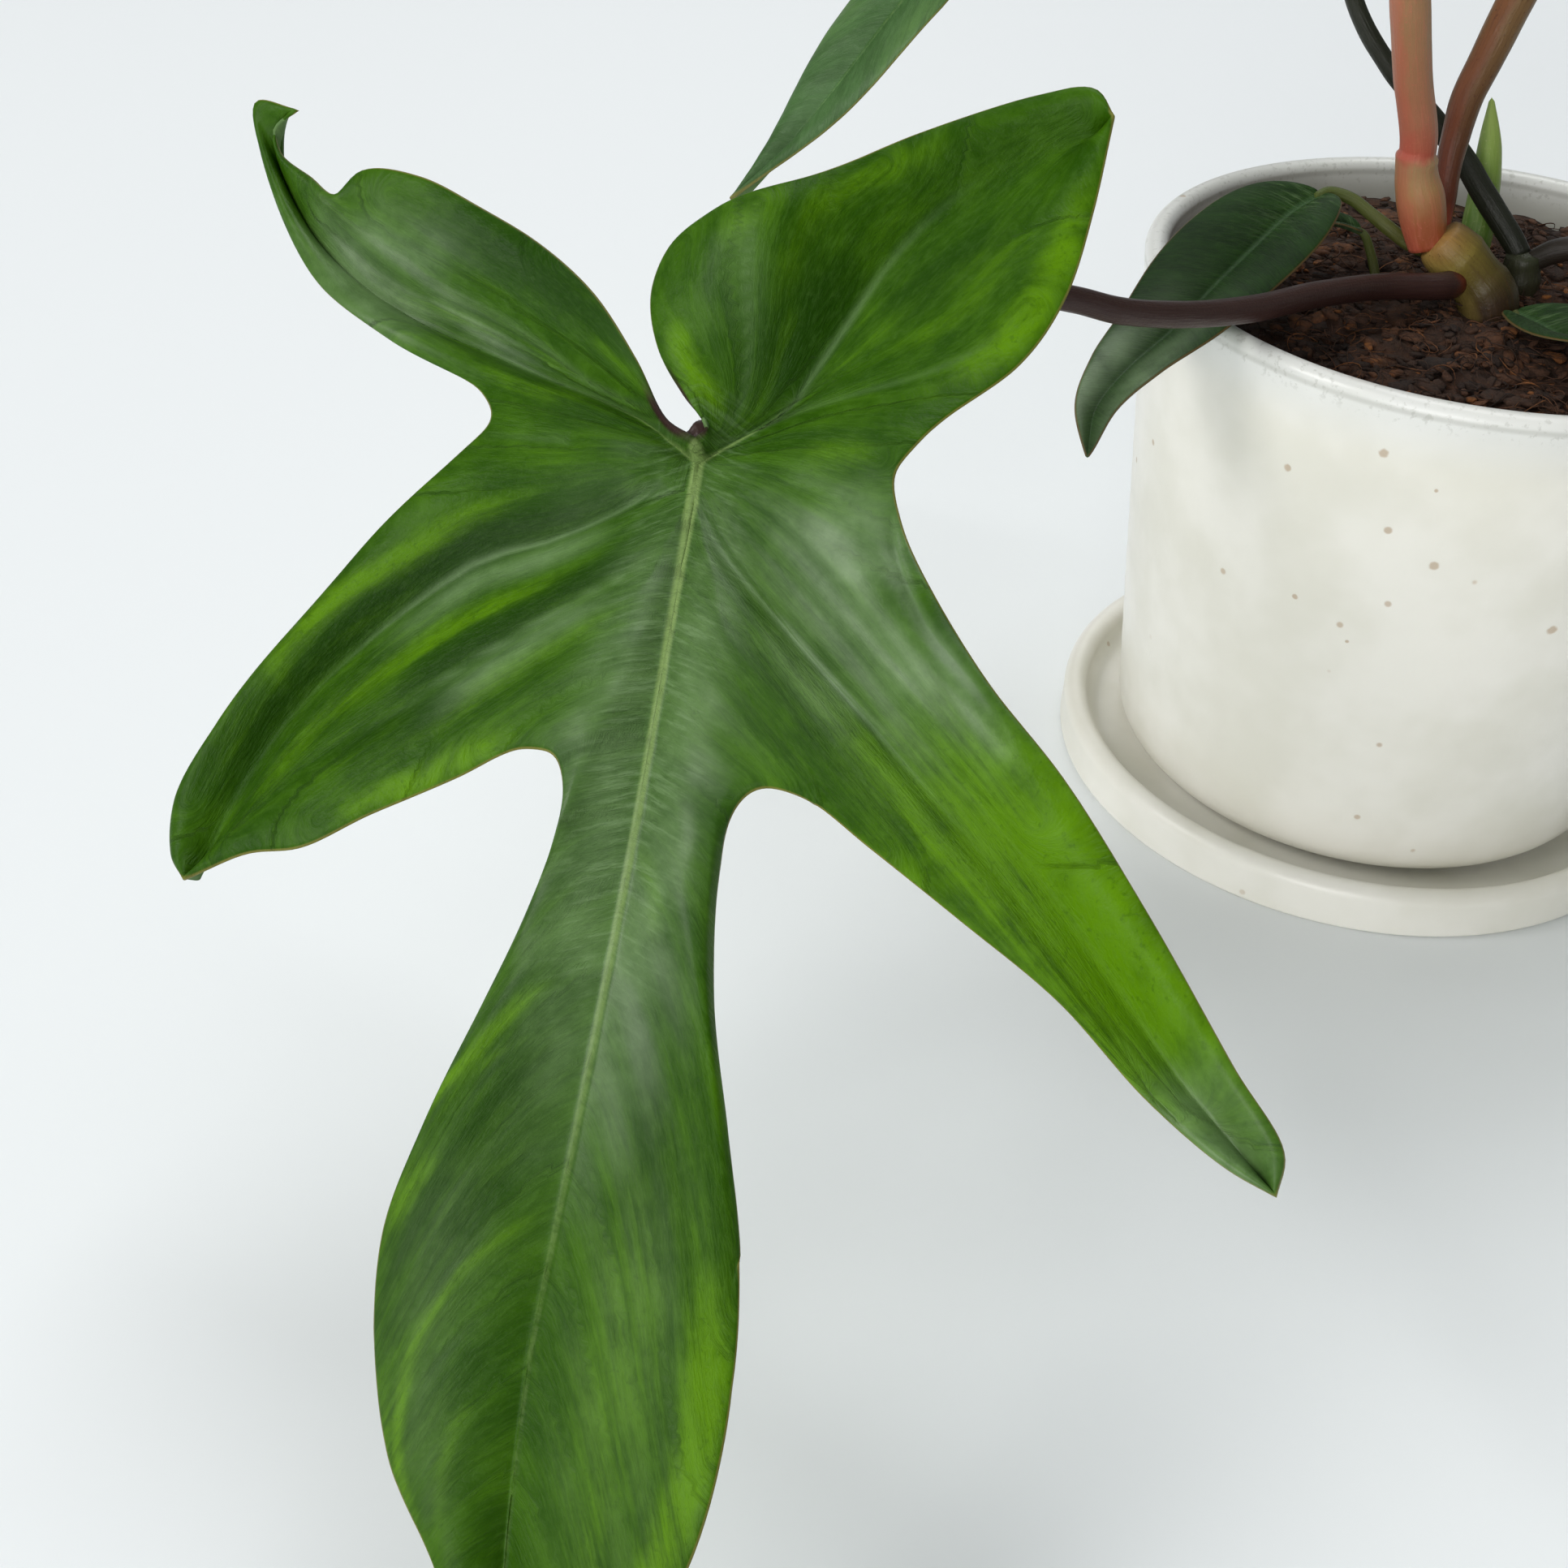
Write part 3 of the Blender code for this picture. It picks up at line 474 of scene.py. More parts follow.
def soil_surface(x, y):
    """Height of the soil: a low crown with lumps as wide as bark chips."""
    crown = SOIL_CROWN * (1 - (x * x + y * y) / pot_inner_radius(SOIL_HEIGHT) ** 2)
    wide = np.sin(x * 0.31 + 1.1) * np.cos(y * 0.27 - 0.4) + 0.6 * np.sin(x * 0.17 - y * 0.44 + 2.0)
    return SOIL_HEIGHT + crown + SOIL_RELIEF * wide


def make_soil(finish):
    """The bed under the loose chips: the soil's surface with lumps of three sizes, closed below."""
    floor_height = POT_BASE + POT_FLOOR + 0.3
    low_radius = pot_inner_radius(floor_height + INNER_BEND) - SOIL_CLEAR
    top_radius = pot_inner_radius(SOIL_HEIGHT) - SOIL_CLEAR
    share = np.linspace(1 / SOIL_RINGS, 1, SOIL_RINGS)[:, None]
    top = round_rings(top_radius * share, 0)
    x, y = top[..., 0], top[..., 1]
    crumbs = sum(lumps(x, y, width, seed) * rise for width, seed, rise in CRUMBS)
    top[..., 2] = soil_surface(x, y) + crumbs * (1 - share**12) - 0.5
    side = np.array(arc((low_radius - INNER_BEND, floor_height + INNER_BEND), INNER_BEND, 0, -90, 4))
    rings = np.concatenate([top, round_rings(side[:, :1], side[:, 1:])])
    points, triangles = capped(rings, (0, 0, top[0, :, 2].mean()), (0, 0, floor_height))
    return make_piece("soil_bed", points, triangles, finish, ["soil"])


def strewn(rng, margin, shape):
    """Seeded places all over the soil, no nearer than margin to the pot's wall."""
    reach = (pot_inner_radius(SOIL_HEIGHT) - margin) * np.sqrt(rng.uniform(0, 1, shape))
    way = rng.uniform(0, math.tau, shape)
    return reach * np.cos(way), reach * np.sin(way)


def strew(name, rng, points, faces, finish):
    """One piece of many crumbs: points by crumb and corner, the same faces on each, a tone for each."""
    count, corners = points.shape[:2]
    triangles = faces + (np.arange(count) * corners)[:, None, None]
    tone = np.repeat(rng.uniform(0, 1, count), corners)
    return make_piece(name, points.reshape(-1, 3), triangles.reshape(-1, 3), finish,
                      marks={"tone": tone})


def turn_matrices(rng, count, tilt):
    """Seeded turns: any way round Z, then tipped about a level axis by a normal spread of tilt."""
    spin = rng.uniform(0, math.tau, count)
    lean = rng.normal(0, tilt, count)
    way = rng.uniform(0, math.tau, count)
    skew, spins = np.zeros((2, count, 3, 3))
    skew[:, 0, 2], skew[:, 1, 2] = np.sin(way), -np.cos(way)
    skew[:, 2, 0], skew[:, 2, 1] = -np.sin(way), np.cos(way)
    s, c = np.sin(lean)[:, None, None], np.cos(lean)[:, None, None]
    tip = np.eye(3) + s * skew + (1 - c) * (skew @ skew)
    spins[:, 0, 0] = spins[:, 1, 1] = np.cos(spin)
    spins[:, 1, 0], spins[:, 0, 1], spins[:, 2, 2] = np.sin(spin), -np.sin(spin), 1
    return tip @ spins


def make_chips(finish):
    """Bark chips: flat knobbly lumps over the bed, each a squared ball with seeded sides and corners."""
    rng = np.random.default_rng(CHIP_SEED)
    ball, faces = capped(ball_rings(CHIP_SIDES, CHIP_RISES), (0, 0, -1), (0, 0, 1))
    ball = np.sign(ball) * np.abs(ball) ** CHIP_SQUARENESS
    length = rng.gamma(2.0, 0.42, (CHIPS, 1)) + 0.5
    width = length * rng.uniform(0.35, 0.8, (CHIPS, 1))
    height = length * rng.uniform(0.15, 0.4, (CHIPS, 1))
    shape = ball * np.hstack([length, width, height])[:, None]
    shape = shape * rng.uniform(0.78, 1.12, (CHIPS, len(ball), 1))
    shape = np.einsum("nij,nkj->nki", turn_matrices(rng, CHIPS, CHIP_TILT), shape)
    x, y = strewn(rng, 3.0, CHIPS)
    z = soil_surface(x, y) + rng.uniform(-0.5, 0.5, CHIPS)
    return strew("bark_chips", rng, shape + np.stack([x, y, z], axis=1)[:, None], faces, finish)


def make_fibres(finish):
    """Coir fibres: bent threads with three sides, lying over the bed and humped a little above it."""
    rng = np.random.default_rng(FIBRE_SEED)
    steps, sides = 9, 3
    s = np.linspace(-0.5, 0.5, steps)
    x, y = strewn(rng, 8.0, (FIBRES, 1))
    turn, length = rng.uniform(0, math.tau, (FIBRES, 1)), rng.uniform(3, 11, (FIBRES, 1))
    angle = turn + rng.normal(0, 1.6, (FIBRES, 1)) * s
    x, y = x + length * s * np.cos(angle), y + length * s * np.sin(angle)
    z = soil_surface(x, y) + 0.7 + rng.uniform(0, 1.6, (FIBRES, 1)) * (1 - 4 * s * s)
    thick = rng.uniform(0.07, 0.17, (FIBRES, 1)) * (1.1 - np.abs(s))
    around = np.linspace(0, math.tau, sides, endpoint=False)[:, None]
    across = np.stack([-np.sin(angle), np.cos(angle), 0 * angle], axis=-1)[:, :, None]
    circle = np.cos(around) * across + np.sin(around) * np.array([0, 0, 1.0])
    points = np.stack([x, y, z], axis=-1)[:, :, None] + thick[..., None, None] * circle
    index = np.arange(steps * sides).reshape(steps, sides)
    faces = np.vstack([grid_triangles(index, True), index[:1, ::-1], index[-1:]])
    return strew("coir_fibres", rng, points.reshape(FIBRES, -1, 3), faces, finish)


def bark(shade):
    """Bark and coir: a tone for each chip, darkened in its pits, with a fibrous grain."""
    place = shade.place()
    tone = shade.mark("tone") * 0.75 + shade.noise(place, 420.0, 3.0, 0.6) * 0.35
    grain = shade.noise(place, 1500.0, 3.0, 0.65)
    pits = shade.noise(place, 600.0)
    colour = shade.mix(pits.step(0.5, 0.3) * 0.5, shade.ramp(tone, BARK_TONES), PIT_BROWN)
    return {"Base_Color": colour, "Normal": shade.bump(grain + pits, CHIP_RELIEF)}


def bed(shade):
    """The bed shows the same tones as the chips, by lumps of a few millimetres."""
    place = shade.place()
    tone = shade.noise(place, 260.0, 4.0, 0.65)
    grain = shade.noise(place, 1400.0, 3.0, 0.65)
    return {"Base_Color": shade.ramp(tone, BARK_TONES), "Normal": shade.bump(grain, BED_RELIEF)}


# Stems and stalks: points of the middle line, each with the radius there

MAIN_STEM = [(3.5, -2.4, 90, 6), (3.6, -2.4, 103, 6.1), (2.4, -2.1, 111.5, 6.6),
             (-1, -1, 115.6, 5.8), (-4.5, 0, 118.4, 6.3), (-7.5, 0.8, 120.7, 5.7),
             (-9.3, 1.3, 122.1, 4.8)]
SIDE_STEM = [(12.5, 8, 92, 3.8), (12.2, 8.4, 103, 3.8), (11.8, 8.6, 111, 4), (11.6, 8.8, 114, 3.6),
             (11.3, 9, 117.2, 3.5)]
NEW_SHOOT = [(4.5, 19, 96, 3), (4.8, 20, 108, 3.2), (5.2, 21.7, 116, 3.3), (5.6, 24.2, 121, 3.2),
             (5.7, 26.8, 126.8, 2.8), (5.5, 29.4, 132.6, 2.1), (4.7, 32.3, 139.7, 0.5)]
SMALL_STALK = [(-17, 4.5, 98, 1), (-17.2, 4.8, 106, 1), (-18.2, 6, 112, 1), (-19.6, 8.8, 116, 0.9),
               (-20.6, 10.5, 118, 0.8), (-21.6, 11, 118.65, 0.7), (-22.9, 11, 119, 0.55)]
SOIL_STALK = [(12.5, -5, 98, 1), (12.5, -5.5, 105, 1), (11, -7, 110.2, 1), (8, -8.8, 111.6, 0.9),
              (6.9, -9.5, 111.8, 0.8), (5.4, -10.9, 112.3, 0.75), (5.9, -12.2, 112.5, 0.6)]
FRONT_STALK = [(-4.6, -1.6, 115, 2.5), (-5.9, -4.4, 115, 2.8), (-8.3, -6.7, 115.4, 2.65),
               (-14.1, -8.7, 115.8, 2.55), (-21.6, -11.8, 116.7, 2.5), (-37.5, -25.6, 120.1, 2.45),
               (-52.3, -40, 122.8, 2.4), (-66.3, -52.3, 126.4, 2.3), (-79.1, -61.7, 130.5, 2.25),
               (-87.7, -66.5, 134.1, 2.2), (-105, -76, 139.8, 2.1), (-121, -89, 142.2, 2),
               (-134, -102.5, 140, 1.95), (-140.8, -110.5, 137.8, 1.9),
               (-143.8, -119.5, 135.2, 1.85)]
PINK_STALK = [(-10.2, 1.9, 118.9, 3.4), (-12, 3, 124, 4.3), (-13.6, 3.5, 128.5, 4.5),
              (-15.2, 3.7, 132.3, 3.9), (-16, 3.5, 135, 3.5), (-17, 2.7, 140.6, 3.5),
              (-21.4, 0.4, 152.3, 3.5), (-26.4, -3.3, 167.2, 3.6), (-38, -9, 205, 3.2),
              (-46.5, -10, 242, 2.8), (-50.5, -10.5, 256, 2.5)]
BROWN_STALK = [(-7.7, 4.2, 120.4, 1.6), (-7.3, 6.4, 121.7, 1.8), (-6.4, 11.1, 125.3, 2.2),
               (-6.2, 14.6, 132.2, 2.5), (-5.8, 16.1, 136.6, 2.8), (-5.2, 16.9, 144.3, 3.1),
               (-3.3, 17.4, 151.5, 3.3), (-0.3, 18.3, 162.5, 3.5), (10, 19, 200, 3.3),
               (26, 17, 240, 3), (36, 15.5, 256, 2.7)]
DARK_STALK = [(11.2, 9.2, 115.6, 2.1), (9.3, 11.3, 118.3, 2.3), (5.5, 15.4, 122.6, 2.4),
              (2.4, 18.8, 126.2, 2.4), (-0.5, 22.2, 129.8, 2.35), (-8, 27.4, 136.9, 2.2),
              (-17.2, 32.1, 144.7, 1.9), (-25.5, 38.2, 155.6, 1.8), (-30, 52, 175, 1.8),
              (-33, 70, 195, 1.8), (-34.5, 81, 207, 1.7)]
LOW_STALK = [(12.4, 8.6, 114.8, 2.1), (13.9, 8.2, 116, 2.2), (16.2, 7.4, 117.8, 2.4),
             (18.7, 6.4, 119.1, 2.4), (30, 2.5, 122, 2.3), (55, -6, 127.5, 2.2),
             (80, -16, 130.2, 2.1), (93, -22, 129, 2)]
RIM_STALK = [(-6.5, 2.6, 117.6, 1.3), (-12.8, 5.9, 118.5, 1.35), (-16.6, 7.3, 120.6, 1.4),
             (-20.6, 9.6, 122.8, 1.3), (-24.5, 12, 124.8, 1.2), (-29, 12.9, 125.6, 1.1),
             (-30.9, 12, 125.2, 1), (-32.1, 10.7, 125, 0.8)]

STALK_SIDES = 32
STALK_STEP = 0.7  # between the rings of a stalk
TIP_ROUND = 0.8  # how long the rounding at a stalk's upper end is
# Sides of some stalks: the left one is painted lighter or warmer, partly in its own colour, and the right
# one mostly painted darker, as shade from lamps on the left
LEFT_SIDE_TURN = 2.1  # angles round a stalk, in radians from its far side over the left
RIGHT_SIDE_TURN = 4.9
STALK_RELIEF = 0.00015


def stalk_skin(angle, along, seed, dents=0.05, scars=(), collar=None):
    """Relief of a stalk's skin: fine ridges, shallow dents, a ring at each scar, a sheath's torn end."""
    relief = 0.02 * np.sin(angle * 9 + lumps(along, 0 * along, 9, seed))
    relief = relief + dents * lumps(along, 0 * along + np.sin(angle) * 2.2, 4.5, seed + 1)
    ring = sum(0.18 * np.exp(-(((along - scar + 0.8 * np.cos(angle - 1)) / 0.7) ** 2)) for scar in scars)
    if collar:
        above, rise = collar
        past = along - above - 0.9 * np.cos(angle - 2.2)
        ring = ring + rise * np.exp(np.minimum(past, 0) / 5.0) * (0.5 - 0.5 * np.tanh(past / 0.25))
    return relief + ring


def make_stalk(name, node, path, finish, slot, slim=1.0, heel=0.5, **skin):
    """A stalk: a circle carried along the smooth path, with the path's radius plus the skin's relief.

    heel is how long the rounding at its lower end is."""
    path = np.asarray(path, float)
    curve = smooth_path(path, int(distance_along(path[:, :3])[-1] / STALK_STEP))
    centres, radius = curve[:, :3], curve[:, 3:] * slim
    along = unit(np.gradient(centres, axis=0))
    across = np.zeros_like(centres)
    side = np.array([0.0, 1.0, 0.0])
    for i, direction in enumerate(along):
        side = unit(side - direction * (side @ direction))
        across[i] = side
    other = np.cross(along, across)
    far = distance_along(centres)
    turn = np.linspace(0, math.tau, STALK_SIDES, endpoint=False)
    ends = rounded(np.minimum(far / heel, (far[-1] - far) / TIP_ROUND), 0.02)[:, None]
    reach = radius * ends + stalk_skin(turn, far[:, None], **skin) * ends
    circle = np.cos(turn)[:, None] * across[:, None] + np.sin(turn)[:, None] * other[:, None]
    rings = centres[:, None] + reach[..., None] * circle
    points, triangles = capped(rings, centres[0] - along[0] * 0.2, centres[-1] + along[-1] * 0.2)
    marks = {"along": np.append(np.repeat(far, STALK_SIDES), [0, far[-1]]),
             "turn": np.append(np.tile(turn, len(far)), [0, 0])}
    return make_piece(name, points, triangles, finish, [node], marks)


def stalk_finish(shade, stops, length, freckle, sides):
    """A waxy stalk: tones along it, a left side partly in its own warmer tone and partly in painted light,
    a right side mostly in painted shade, fine streaks, small freckles.
    """
    place = shade.place()
    along = shade.mark("along")
    turn = shade.mark("turn")
    around = shade.point(shade.math("COSINE", turn) * 2.2, shade.math("SINE", turn) * 2.2, along * 0.06)
    streak = shade.noise(around, 3.0, 3.0, 0.6)
    wander = shade.noise(place, 160.0) - 0.5
    colour = shade.ramp(along / length + wander * 0.04, stops)
    # Painted light on the left side and painted shade on the right, over the stalk's own tones
    for tone, at, low, share in zip(sides, (LEFT_SIDE_TURN, RIGHT_SIDE_TURN), (0.75, 0.1), (0.4, 0.5)):
        facing = shade.math("COSINE", turn - at + wander * 0.8).step(low, 1.0)
        colour = shade.mix(facing * share, colour, tone)
    colour = shade.mix(streak.step(0.42, 0.75) * 0.35, colour, freckle)
    dots = shade.noise(place, 1700.0, 1.0)
    colour = shade.mix(dots.step(0.66, 0.74) * 0.5, colour, freckle)
    return {"Base_Color": colour, "Roughness": 0.34 + streak * 0.2,
            "Normal": shade.bump(streak + dots * 0.4, STALK_RELIEF)}


# Lobed blades, drawn flat: v runs along the midrib from the stalk's joint to the tip, and u outwards

WIDE_HALF = {
    "centre": [(0, 180), (9, 170), (18.5, 156), (24.5, 143), (26.5, 128), (24.5, 112), (19.5, 95),
               (14.5, 79), (12.3, 65), (13.2, 55)],
    "side_lower": [(16, 52), (22.5, 53.5), (31.5, 59), (43.5, 66.5), (56.5, 75), (68, 85), (78, 91.5)],
    "side_tip": (84.2, 94),
    "side_upper": [(84.5, 89), (77.7, 80), (65.5, 62.5), (54.7, 48), (44, 36), (35.6, 24), (30.6, 15)],
    "back_outer": [(28, 7), (34, -2), (43, -12.5), (48, -23), (50.5, -35)],
    "back_tip": (52, -49),
    "back_inner": [(49, -53), (41, -52), (25, -45), (10, -36), (-2, -31), (-8, -27), (-10, -20),
                   (-7.5, -11), (-2.5, -4), (1.5, 0)],
    "side_rib": [(7.8, 19), (21, 34), (36.7, 47), (52.5, 61), (69.7, 80), (83.2, 93)],
    "back_rib": [(8, -1.5), (14, -9), (20, -22), (30, -34), (42, -44), (51, -49.3)],
}
CURLED_HALF = {
    "centre": [(0, 180), (2.6, 167), (7.6, 151.5), (15.5, 139.5), (20, 127), (21.7, 114), (19, 100),
               (15, 84), (10.6, 68), (9.2, 55.5)],
    "side_lower": [(11.3, 50.2), (17.4, 50.2), (25.5, 54.5), (36.5, 60.5), (45.5, 66), (54.5, 67.5)],
    "side_tip": (64, 71.5),
    "side_upper": [(67.5, 68), (69, 60), (64.4, 49), (57, 35), (47.2, 20), (36.5, 8)],
    "back_outer": [(30.5, 0), (35, -5.5), (52, -14), (67, -24), (77, -36), (83, -48), (84.5, -55)],
    "back_tip": (76, -53),
    "back_inner": [(80.5, -51), (79.5, -47.5), (73, -43), (67.5, -39.5), (63, -42.5), (52, -40.5),
                   (42, -36), (31, -30), (20, -21), (11, -10), (5, -1)],
    "side_rib": [(8.7, 12), (18, 17), (28.3, 22), (38.7, 29), (47, 37), (55.3, 47), (61, 62), (63.4, 70.6)],
    "back_rib": [(8, -1), (16, -5), (31, -11), (50, -19), (69, -31), (79, -43), (82, -52.5)],
}
PLAIN_INNER = [(49, -53), (41, -52), (27, -46), (14, -38), (7, -28), (4.5, -18), (4, -9), (2.5, -1)]
NOTCH = (0, 2)
RIB_ROOT = (0, 5)
SIDE_BRANCH = (0, 10)
CENTRE_ROWS = 13
SIDE_ROWS = 10
BACK_ROWS = 9
BLADE_LENGTH = 180.0
WAVE_LENGTH = 46.0
ARCH_SPAN = 146.0
CUP_PLACE = (4.0, -28.0)
CUP_SIZE = (14.0, 20.0)
SWAY_SPAN = 125.0
SWAY_WIDTH = 2.5
HOOK_SPAN = 40.0
HOOK_WIDTH = 4.0

SOLID_HALF_THICKNESS = 0.45
STALK_TIP = 0.4
LEAF_HALF_THICKNESS = 0.26
EDGE_ROUND = 0.6

CENTRE_ROOTS = (168, 158, 147, 136, 124, 111, 98, 86, 75, 65, 56)  # of its side veins, along the midrib


def centre_veins(slope, curve):
    """Side veins of the centre lobe, each from its root on the midrib: v = root + lean * u + curve * u * u.

    lean is slope near the tip, and less towards the joint."""
    veins = []
    for root in CENTRE_ROOTS:
        lean = slope * min(1.0, max(0.3, (root - 45) / 40))
        line = [(u, root + lean * u + curve * u * u) for u in (0, 3, 6, 10, 14, 19, 26)]
        veins.append((0.14, 3.5, line))
    return veins


# The veins of each half, in order from the tip to the notch: fold depth, fold width and points.
# It glows where it is yellow-green: strength, width and points.

WIDE_HALF["veins"] = [
    *centre_veins(1.2, 0.05),
    (0.1, 3, [(1, 48), (5, 51), (10, 53), (13, 54)]),
    (0.15, 3, [(1, 38), (7, 42), (13, 47), (19, 52.5)]),
    (0.2, 3, [(0, 28), (7, 34), (14, 41), (24, 51), (33, 59)]),
    (0.25, 3.5, [(0, 19), (6, 25), (14, 34), (24, 45), (35, 56), (47, 67), (60, 78), (72, 87)]),
    (1.4, 4, [(0.5, 10), (3, 16), (10, 24), (19, 32.5), (27, 40), (35, 48), (47, 60), (55, 69),
              (63, 78), (70, 86), (77, 91)]),
    (0.25, 3.5, [(1, 8), (8, 15), (17, 24), (26, 33), (36, 43), (48, 55), (60, 68), (73, 84)]),
    (0.4, 3, [(1.5, 6), (9, 10), (17, 16), (25, 24), (32, 32), (41, 42), (51, 53)]),
    (0.5, 3, [(2, 5), (8, 6), (15, 8.5), (21, 10.5), (29, 11.5)]),
    (0.2, 3, [(3, 3.5), (9, 2), (17, 2), (26, 5)]),
    (0.5, 4, [(3, 2), (8, -1.5), (12, -3.5), (20, -6), (30, -9.5), (37, -14), (43, -21)]),
    (0.3, 4, [(4, 1), (10, -4), (18, -10), (27, -18), (35, -27), (42, -37), (47, -45)]),
    (1.2, 4, [(2, 2), (6.5, -0.5), (11.5, -4.5), (14.5, -10.5), (18, -18), (22.5, -28), (27, -34.5),
              (33, -40.5), (39.5, -46), (47, -50)]),
    (0.3, 4, [(4, 1), (8, -6), (10, -14), (12, -25), (15, -33), (21, -40)]),
    (0.6, 4, [(3, 0.5), (5, -4), (5.5, -10), (5, -18), (4.5, -25), (5, -31)]),
    (0.3, 3, [(2.5, 0), (2.5, -5), (-1, -11), (-5, -18), (-6, -26)]),
]
WIDE_HALF["folds"] = [
    (1.3, 1.6, [(29, 13), (29.5, 17), (32, 23), (35.5, 29), (40, 34), (43.5, 38), (48, 45)]),
]
WIDE_HALF["glow"] = [
    (0.6, 1.8, [(0, 60), (3, 64), (5, 69), (6.5, 76)]),
    (0.35, 2, [(6, 92), (10, 100), (13, 108), (16, 115)]),
    (1.0, 3, [(20, 110), (22.5, 120), (23.5, 132), (21, 143), (16, 155)]),
    # Painted light: this broad patch lightens the right side lobe, which droops away from the lamps
    (1.0, 12, [(32, 38), (48, 55), (64, 72), (82, 92)]),
    (0.45, 8, [(8, 86), (12, 110), (12, 150)]),
    (0.5, 2.5, [(8, 121), (11, 131), (12, 141), (11, 153)]),
    (0.8, 2.2, [(12, 28), (21, 38), (30, 47), (39, 57), (49, 66), (59, 76), (68, 86)]),
    (0.6, 3, [(29, 57), (41, 65), (51, 72), (62, 80)]),
    (0.8, 3, [(46, 41), (52, 49), (58, 59), (65, 70), (72, 80)]),
    (0.4, 2.5, [(32, 35), (40, 45), (49, 55)]),
    (0.6, 2.6, [(7.5, -5), (9, -13), (11, -25.5), (14, -33), (22, -40), (32, -46)]),
    (1.0, 2, [(-5.5, -15), (-3, -9), (1, -4), (3, -2)]),
    (0.5, 3, [(0, -25), (4, -29), (9, -34)]),
    (0.9, 3, [(30, -5), (37, -11), (43, -19), (47, -30), (50, -42)]),
    (0.6, 3, [(15, 4), (20, 4), (26, 4)]),
    (0.5, 2, [(24, -12), (32, -18), (40, -27)]),
]
CURLED_HALF["veins"] = [
    *centre_veins(0.5, 0.07),
    (0.15, 3, [(2, 45), (6, 47.5), (11, 50)]),
    (0.2, 3, [(2, 37), (9, 40), (15, 44), (22, 50)]),
    (0.2, 3, [(2, 29), (9, 32), (17, 38), (27, 46), (37, 55), (44, 62)]),
    (1.3, 3.6, [(2, 20.5), (6, 22.5), (12, 26.5), (21.5, 33.5), (29, 39), (33, 42.5), (40.5, 48),
                (50, 55.5), (58, 65)]),
    (0.2, 4, [(1.5, 13), (9, 17.5), (19, 23), (29, 29), (38, 36.5), (47, 46), (55, 58), (60, 68)]),
    (1.6, 3.8, [(2, 5), (4, 7), (10, 12), (21, 18), (30, 21), (39, 28), (47, 36), (55, 46), (61, 58),
                (64, 69)]),
    (0.25, 4, [(2.5, 4.5), (9, 7), (18, 10), (29, 13.5), (39, 19.5), (48, 27.5), (57, 38), (63, 50),
               (66, 60)]),
    (0.5, 3, [(2.5, 3.5), (8, 3), (19, 3.5), (31, 3)]),
    (0.2, 3, [(3, 2.5), (13, -0.5), (24, -3.5), (36, -7.5), (49, -13)]),
    (1.0, 3.6, [(2, 2), (6, -0.5), (13, -4), (20, -7), (26, -9), (34, -12.5), (41, -15.5),
                (48, -18.5), (57, -22), (64, -27), (71, -33), (78, -41), (81, -50)]),
    (0.3, 3, [(5, -1), (15, -6.5), (26, -12), (36, -17), (46, -21.5), (56, -26), (65, -33),
              (73, -41)]),
    (0.8, 3.4, [(6, -2), (12, -5), (18.5, -8), (29, -15), (39, -21), (48, -25.5), (56, -31),
                (63, -35), (70, -39)]),
    (0.2, 3, [(6, -3), (12, -8), (21, -16), (30, -23), (39, -29), (48, -34), (57, -38)]),
    (0.2, 3, [(6, -4), (11, -11), (17, -18), (26, -26)]),
]
CURLED_HALF["glow"] = [
    (1.0, 3.0, [(22, 12), (32, 17), (41, 23.5), (48, 28), (55, 36), (58, 46)]),
    (0.8, 2.6, [(8, 20), (17, 25), (26, 29), (35, 34.5), (43, 41), (51, 50), (57, 61)]),
    (0.6, 2.4, [(5, 28), (12, 32.5), (20, 38), (29, 46), (38, 55)]),
    (0.9, 2.6, [(17, 47), (25, 52), (33, 57), (42, 62)]),
    (0.25, 2.2, [(20, -18), (31, -26), (40, -31), (50, -35.5), (57, -38)]),
    (0.3, 2.0, [(28, -18), (42, -26.5), (52, -32), (60, -36)]),
    (0.5, 1.8, [(18, -4), (28, -6), (37, -10)]),
    (0.8, 1.2, [(3.5, 79), (7.5, 81), (11, 85.5), (14.5, 91), (18.5, 97), (20.5, 103)]),
    (0.6, 0.9, [(4, 85), (7, 87), (11, 90), (15, 94)]),
    (0.8, 1.1, [(2, 108), (6, 111.5), (10.5, 117), (13, 123), (14.5, 129), (14.5, 136), (13.5, 141),
                (9, 148)]),
    (0.7, 2.2, [(15.5, 103), (19.5, 109), (20.5, 114)]),
    (0.4, 1.4, [(4, 125), (7, 134), (8, 142), (7, 150)]),
    (0.5, 2.0, [(18, 128), (16, 138), (12, 150), (7, 160)]),
]
# Where the blade has a glossier coat and a painted highlight, and where it has painted shade: strength,
# width and points
MIDRIB_COAT_AND_HIGHLIGHT = [
    (0.8, 7, [(3, 10), (4, 40), (4, 75), (3, 105)]),
    (0.25, 9, [(12, 100), (14, 125), (10, 150)]),
]
WIDE_HALF["shine"] = [
    *MIDRIB_COAT_AND_HIGHLIGHT,
    (1.0, 9, [(19, 10), (24, 17), (28, 26)]),
    (0.85, 2.6, [(34, 27), (41, 38), (47, 46)]),
    (0.7, 3, [(13, 27), (20, 35), (28, 44)]),
    (0.75, 7, [(12, 12), (26, 28), (42, 46)]),
    (1.0, 5, [(69, 80), (77, 88), (84, 94)]),
    (0.4, 3.5, [(4, -12), (4, -22), (3, -30)]),
]
# Painted shade on the right half: the back lobe's valley and other shaded places
WIDE_HALF["dusk"] = [
    (1.0, 4.5, [(8, -4), (11, -12), (14, -20), (16, -28)]),
    (0.5, 5, [(22, -20), (32, -27), (44, -34)]),
    (0.5, 5, [(4, 70), (8, 90), (14, 110)]),
]
